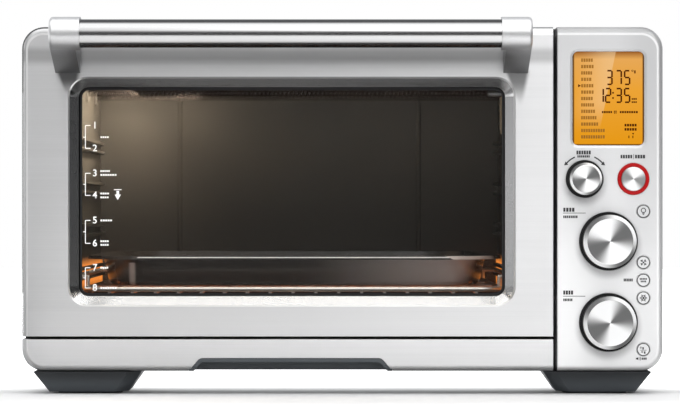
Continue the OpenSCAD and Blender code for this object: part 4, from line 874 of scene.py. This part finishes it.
for i in range(6):
    way = math.radians(60 * i)
    along = 0.002 * math.cos(way)
    rise = -0.002 * math.sin(way)
    crystal.append(flat_bar(kx + along, ky, kz + rise, 0.0019, 0.0006, 60 * i + 90))
kx, ky, kz = signs["unit_key"]
degrees = []
for along, rise in ((-0.0022, 0.0016), (-0.001, -0.0021)):
    degrees.append(flat_ring(kx + along, ky, kz + rise, 0.0008, 0.0004, 20))
for along, rise in ((-0.0003, 0.001), (0.0011, -0.0026)):
    degrees.append(flat_bar(kx + along, ky, kz + rise, 0.0012, 0.002))
degrees.append(flat_bar(kx, ky, kz - 0.0006, 0.0052, 0.0004))
for name, shapes in zip(signs, (bulb, blades, lines, crystal, degrees)):
    kx, ky, kz = signs[name]
    shapes.append(flat_ring(kx, ky, kz, 0.0055, 0.0048))
    print_on(name + "_sign", name + "_body", black_ink, shapes)

# Display
# A flat amber screen under a clear lens, lit from behind, paler at the top and deepest at the bottom. A dark
# band along its top edge is painted shade under the bezel, a thin dark border runs along its sides and foot,
# and a soft diagonal sheen is a painted reflection. The dark segments show a list as rows of blocks, a
# pointer, two rows of figures and a few signs.
low_lens, high_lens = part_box("display_lens")
amber = Finish("amber_lens_finish", roughness=0.1, specular_ior_level=0.25, emission_strength=0.96)
x, _, z = amber.axes()
up = (z - low_lens.z) / (high_lens.z - low_lens.z)
across = (x - low_lens.x) / (high_lens.x - low_lens.x)
# The top stop of the glow is dark, a painted shade under the bezel.
glow = amber.add(
    "ShaderNodeValToRGB",
    {"stops": [
        (0.0, (0.78, 0.31, 0.006)), (0.6, (0.82, 0.36, 0.035)),
        (0.92, (0.78, 0.38, 0.09)), (1.0, (0.3, 0.1, 0.02))
    ]},
    {0: up}
)
# Painted reflection: a soft diagonal sheen with a sharp edge on its right.
beside = across - up * 0.27 - 0.335
ray = (1 - amber.step(beside, -0.005, 0.005)) * amber.step(beside, -0.55, 0.0) * amber.step(up, 0.12, 0.5)
lit = amber.mix(ray * 0.42, glow, (0.92, 0.66, 0.36))
inset = amber.step(x, low_lens.x + 0.0006, low_lens.x + 0.0018)
inset = inset * amber.step(0 - x, 0.0006 - high_lens.x, 0.0018 - high_lens.x)
inset = inset * amber.step(z, low_lens.z + 0.0004, low_lens.z + 0.0014)
lit = amber.mix(inset, (0.13, 0.055, 0.012), lit)
amber.feed("Base Color", amber.mix(0.95, lit, (0.0, 0.0, 0.0)))
amber.feed("Emission Color", lit)
amber.on("display_lens", "display_module")
segment_ink = Finish("segment_finish", roughness=0.6, specular_ior_level=0.0)
fade = segment_ink.noise((120, 120, 120), 2)
segment_ink.feed("Base Color", segment_ink.mix(fade, (0.05, 0.01, 0.001), (0.08, 0.016, 0.002)))
list_ink = Finish("list_finish", roughness=0.6, specular_ior_level=0.0)
fade = list_ink.noise((120, 120, 120), 2)
list_ink.feed("Base Color", list_ink.mix(fade, (0.28, 0.12, 0.018), (0.34, 0.15, 0.024)))
screen_y = low_lens.y - print_gap
screen_x = low_lens.x
screen_z = low_lens.z
list_left = screen_x + 0.007
list_top = screen_z + 0.0724
list_pitch = 0.00544
shapes = []
for i, length in enumerate((10.4, 11.1, 9.8, 9.1, 10.9, 11.1, 10.3, 11.3, 12.2, 13.5, 15, 20.5, 20.5)):
    row_z = list_top - i * list_pitch
    list_right = list_left + length * 0.001
    shapes += label_blocks(list_left, screen_y, row_z, list_right, 0.0028, round(length / 2.05))
print_on("display_list", "housing", list_ink, shapes)
shapes = [flat_tip(screen_x + 0.0054, screen_y, list_top - 4 * list_pitch, 0.0016, 90)]
segments = {"1": "bc", "2": "abged", "3": "abgcd", "5": "afgcd", "7": "abc"}
sides = {"b": 1, "c": 1, "e": -1, "f": -1}
levels = {"a": 2, "b": 1, "c": -1, "d": -2, "e": -1, "f": 1, "g": 0}
stroke = 0.0014
half_w = 0.0021
level_h = 0.0029
for digit, x, z in (
    ("3", 31.3, 57.6), ("7", 39.2, 57.6), ("5", 46.3, 57.6),
    ("1", 23.9, 42.4), ("2", 30.1, 42.4), ("3", 39.2, 42.4), ("5", 46.3, 42.4)
):
    x = screen_x + x * 0.001
    z = screen_z + z * 0.001
    for part in segments[digit]:
        part_z = z + levels[part] * level_h
        if part in sides:
            shapes.append(flat_bar(x + sides[part] * half_w, screen_y, part_z, stroke, 0.0052))
        else:
            shapes.append(flat_bar(x, screen_y, part_z, 0.0036, stroke))
for rise in (0.0022, -0.0022):
    shapes.append(flat_bar(screen_x + 0.0343, screen_y, screen_z + 0.0424 + rise, stroke, stroke))
shapes.append(flat_ring(screen_x + 0.0508, screen_y, screen_z + 0.0633, 0.0009, 0.0005, 20))
shapes.append(flat_bar(screen_x + 0.0529, screen_y, screen_z + 0.0624, 0.0012, 0.0026))
for rise in (0.0394, 0.0367):
    shapes += label_blocks(screen_x + 0.05, screen_y, screen_z + rise, screen_x + 0.0548, 0.0014, 3)
shapes += label_blocks(screen_x + 0.0247, screen_y, screen_z + 0.0282, screen_x + 0.0338, 0.0018, 5)
shapes += label_blocks(screen_x + 0.0399, screen_y, screen_z + 0.0282, screen_x + 0.0556, 0.0018, 8)
for lean in (45, 135, 225, 315):
    way = math.radians(lean)
    blade_x = screen_x + 0.0362 + 0.001 * math.sin(way)
    blade_z = screen_z + 0.0282 + 0.001 * math.cos(way)
    shapes.append(flat_tip(blade_x, screen_y, blade_z, 0.0009, lean + 200))
for rise in (0.0171, 0.0135):
    shapes += label_blocks(screen_x + 0.0439, screen_y, screen_z + rise, screen_x + 0.0547, 0.0022, 5)
shapes.append(flat_tip(screen_x + 0.0514, screen_y, screen_z + 0.0099, 0.0011, 180))
for place in (0.0478, 0.0512):
    shapes.append(flat_bar(screen_x + place, screen_y, screen_z + 0.0071, 0.0008, 0.0022))
print_on("display_segments", "housing", segment_ink, shapes)

# Boards
# Green glass-fibre laminate with etched tracks under a clear lacquer. The control board lies behind the panel
# and the power board beside the cavity.
laminate = Finish("board_finish")
weave = laminate.add("ShaderNodeTexChecker", {}, {"Vector": laminate.place, "Scale": 900.0}, "Fac")
tracks = laminate.noise((220, 220, 220), 2)
laminate.feed("Base Color", laminate.mix(weave * 0.3 + tracks * 0.4, (0.01, 0.07, 0.03), (0.03, 0.16, 0.07)))
laminate.feed("Roughness", 0.35 + tracks * 0.2)
laminate.on("control_board", "power_board")

# Case screws
# Plated screws, driven last, that hold the rear panel to the flange of the shell. The cross cut in each head
# is drawn as a flat near-black mark, a painted shade for the recess.
# Painted shade: the cross cuts are near black.
cross_shade = Finish("screw_cut_finish", metallic=0.6)
film = cross_shade.noise((900, 900, 900), 2)
cross_shade.feed("Base Color", cross_shade.mix(film, (0.03, 0.03, 0.03), (0.07, 0.07, 0.07)))
cross_shade.feed("Roughness", 0.4 + film * 0.2)
screw_low, screw_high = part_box("case_screws")
head_r = 0.0032
column = 0.254
edge_x = screw_high.x - head_r
middle_z = (screw_low.z + screw_high.z) / 2
places = [(x, z) for x in (-column, 0, column) for z in (screw_low.z + head_r, screw_high.z - head_r)]
places += [(-edge_x, middle_z), (edge_x, middle_z)]
cut_y = screw_high.y + 0.00006
cut_long = 0.0036
cut_wide = 0.0008
shapes = []
for x, z in places:
    shapes.append(flat_bar(x, cut_y, z, cut_long, cut_wide))
    shapes.append(flat_bar(x, cut_y, z, cut_wide, cut_long))
print_on("screw_cuts", "housing", cross_shade, shapes)
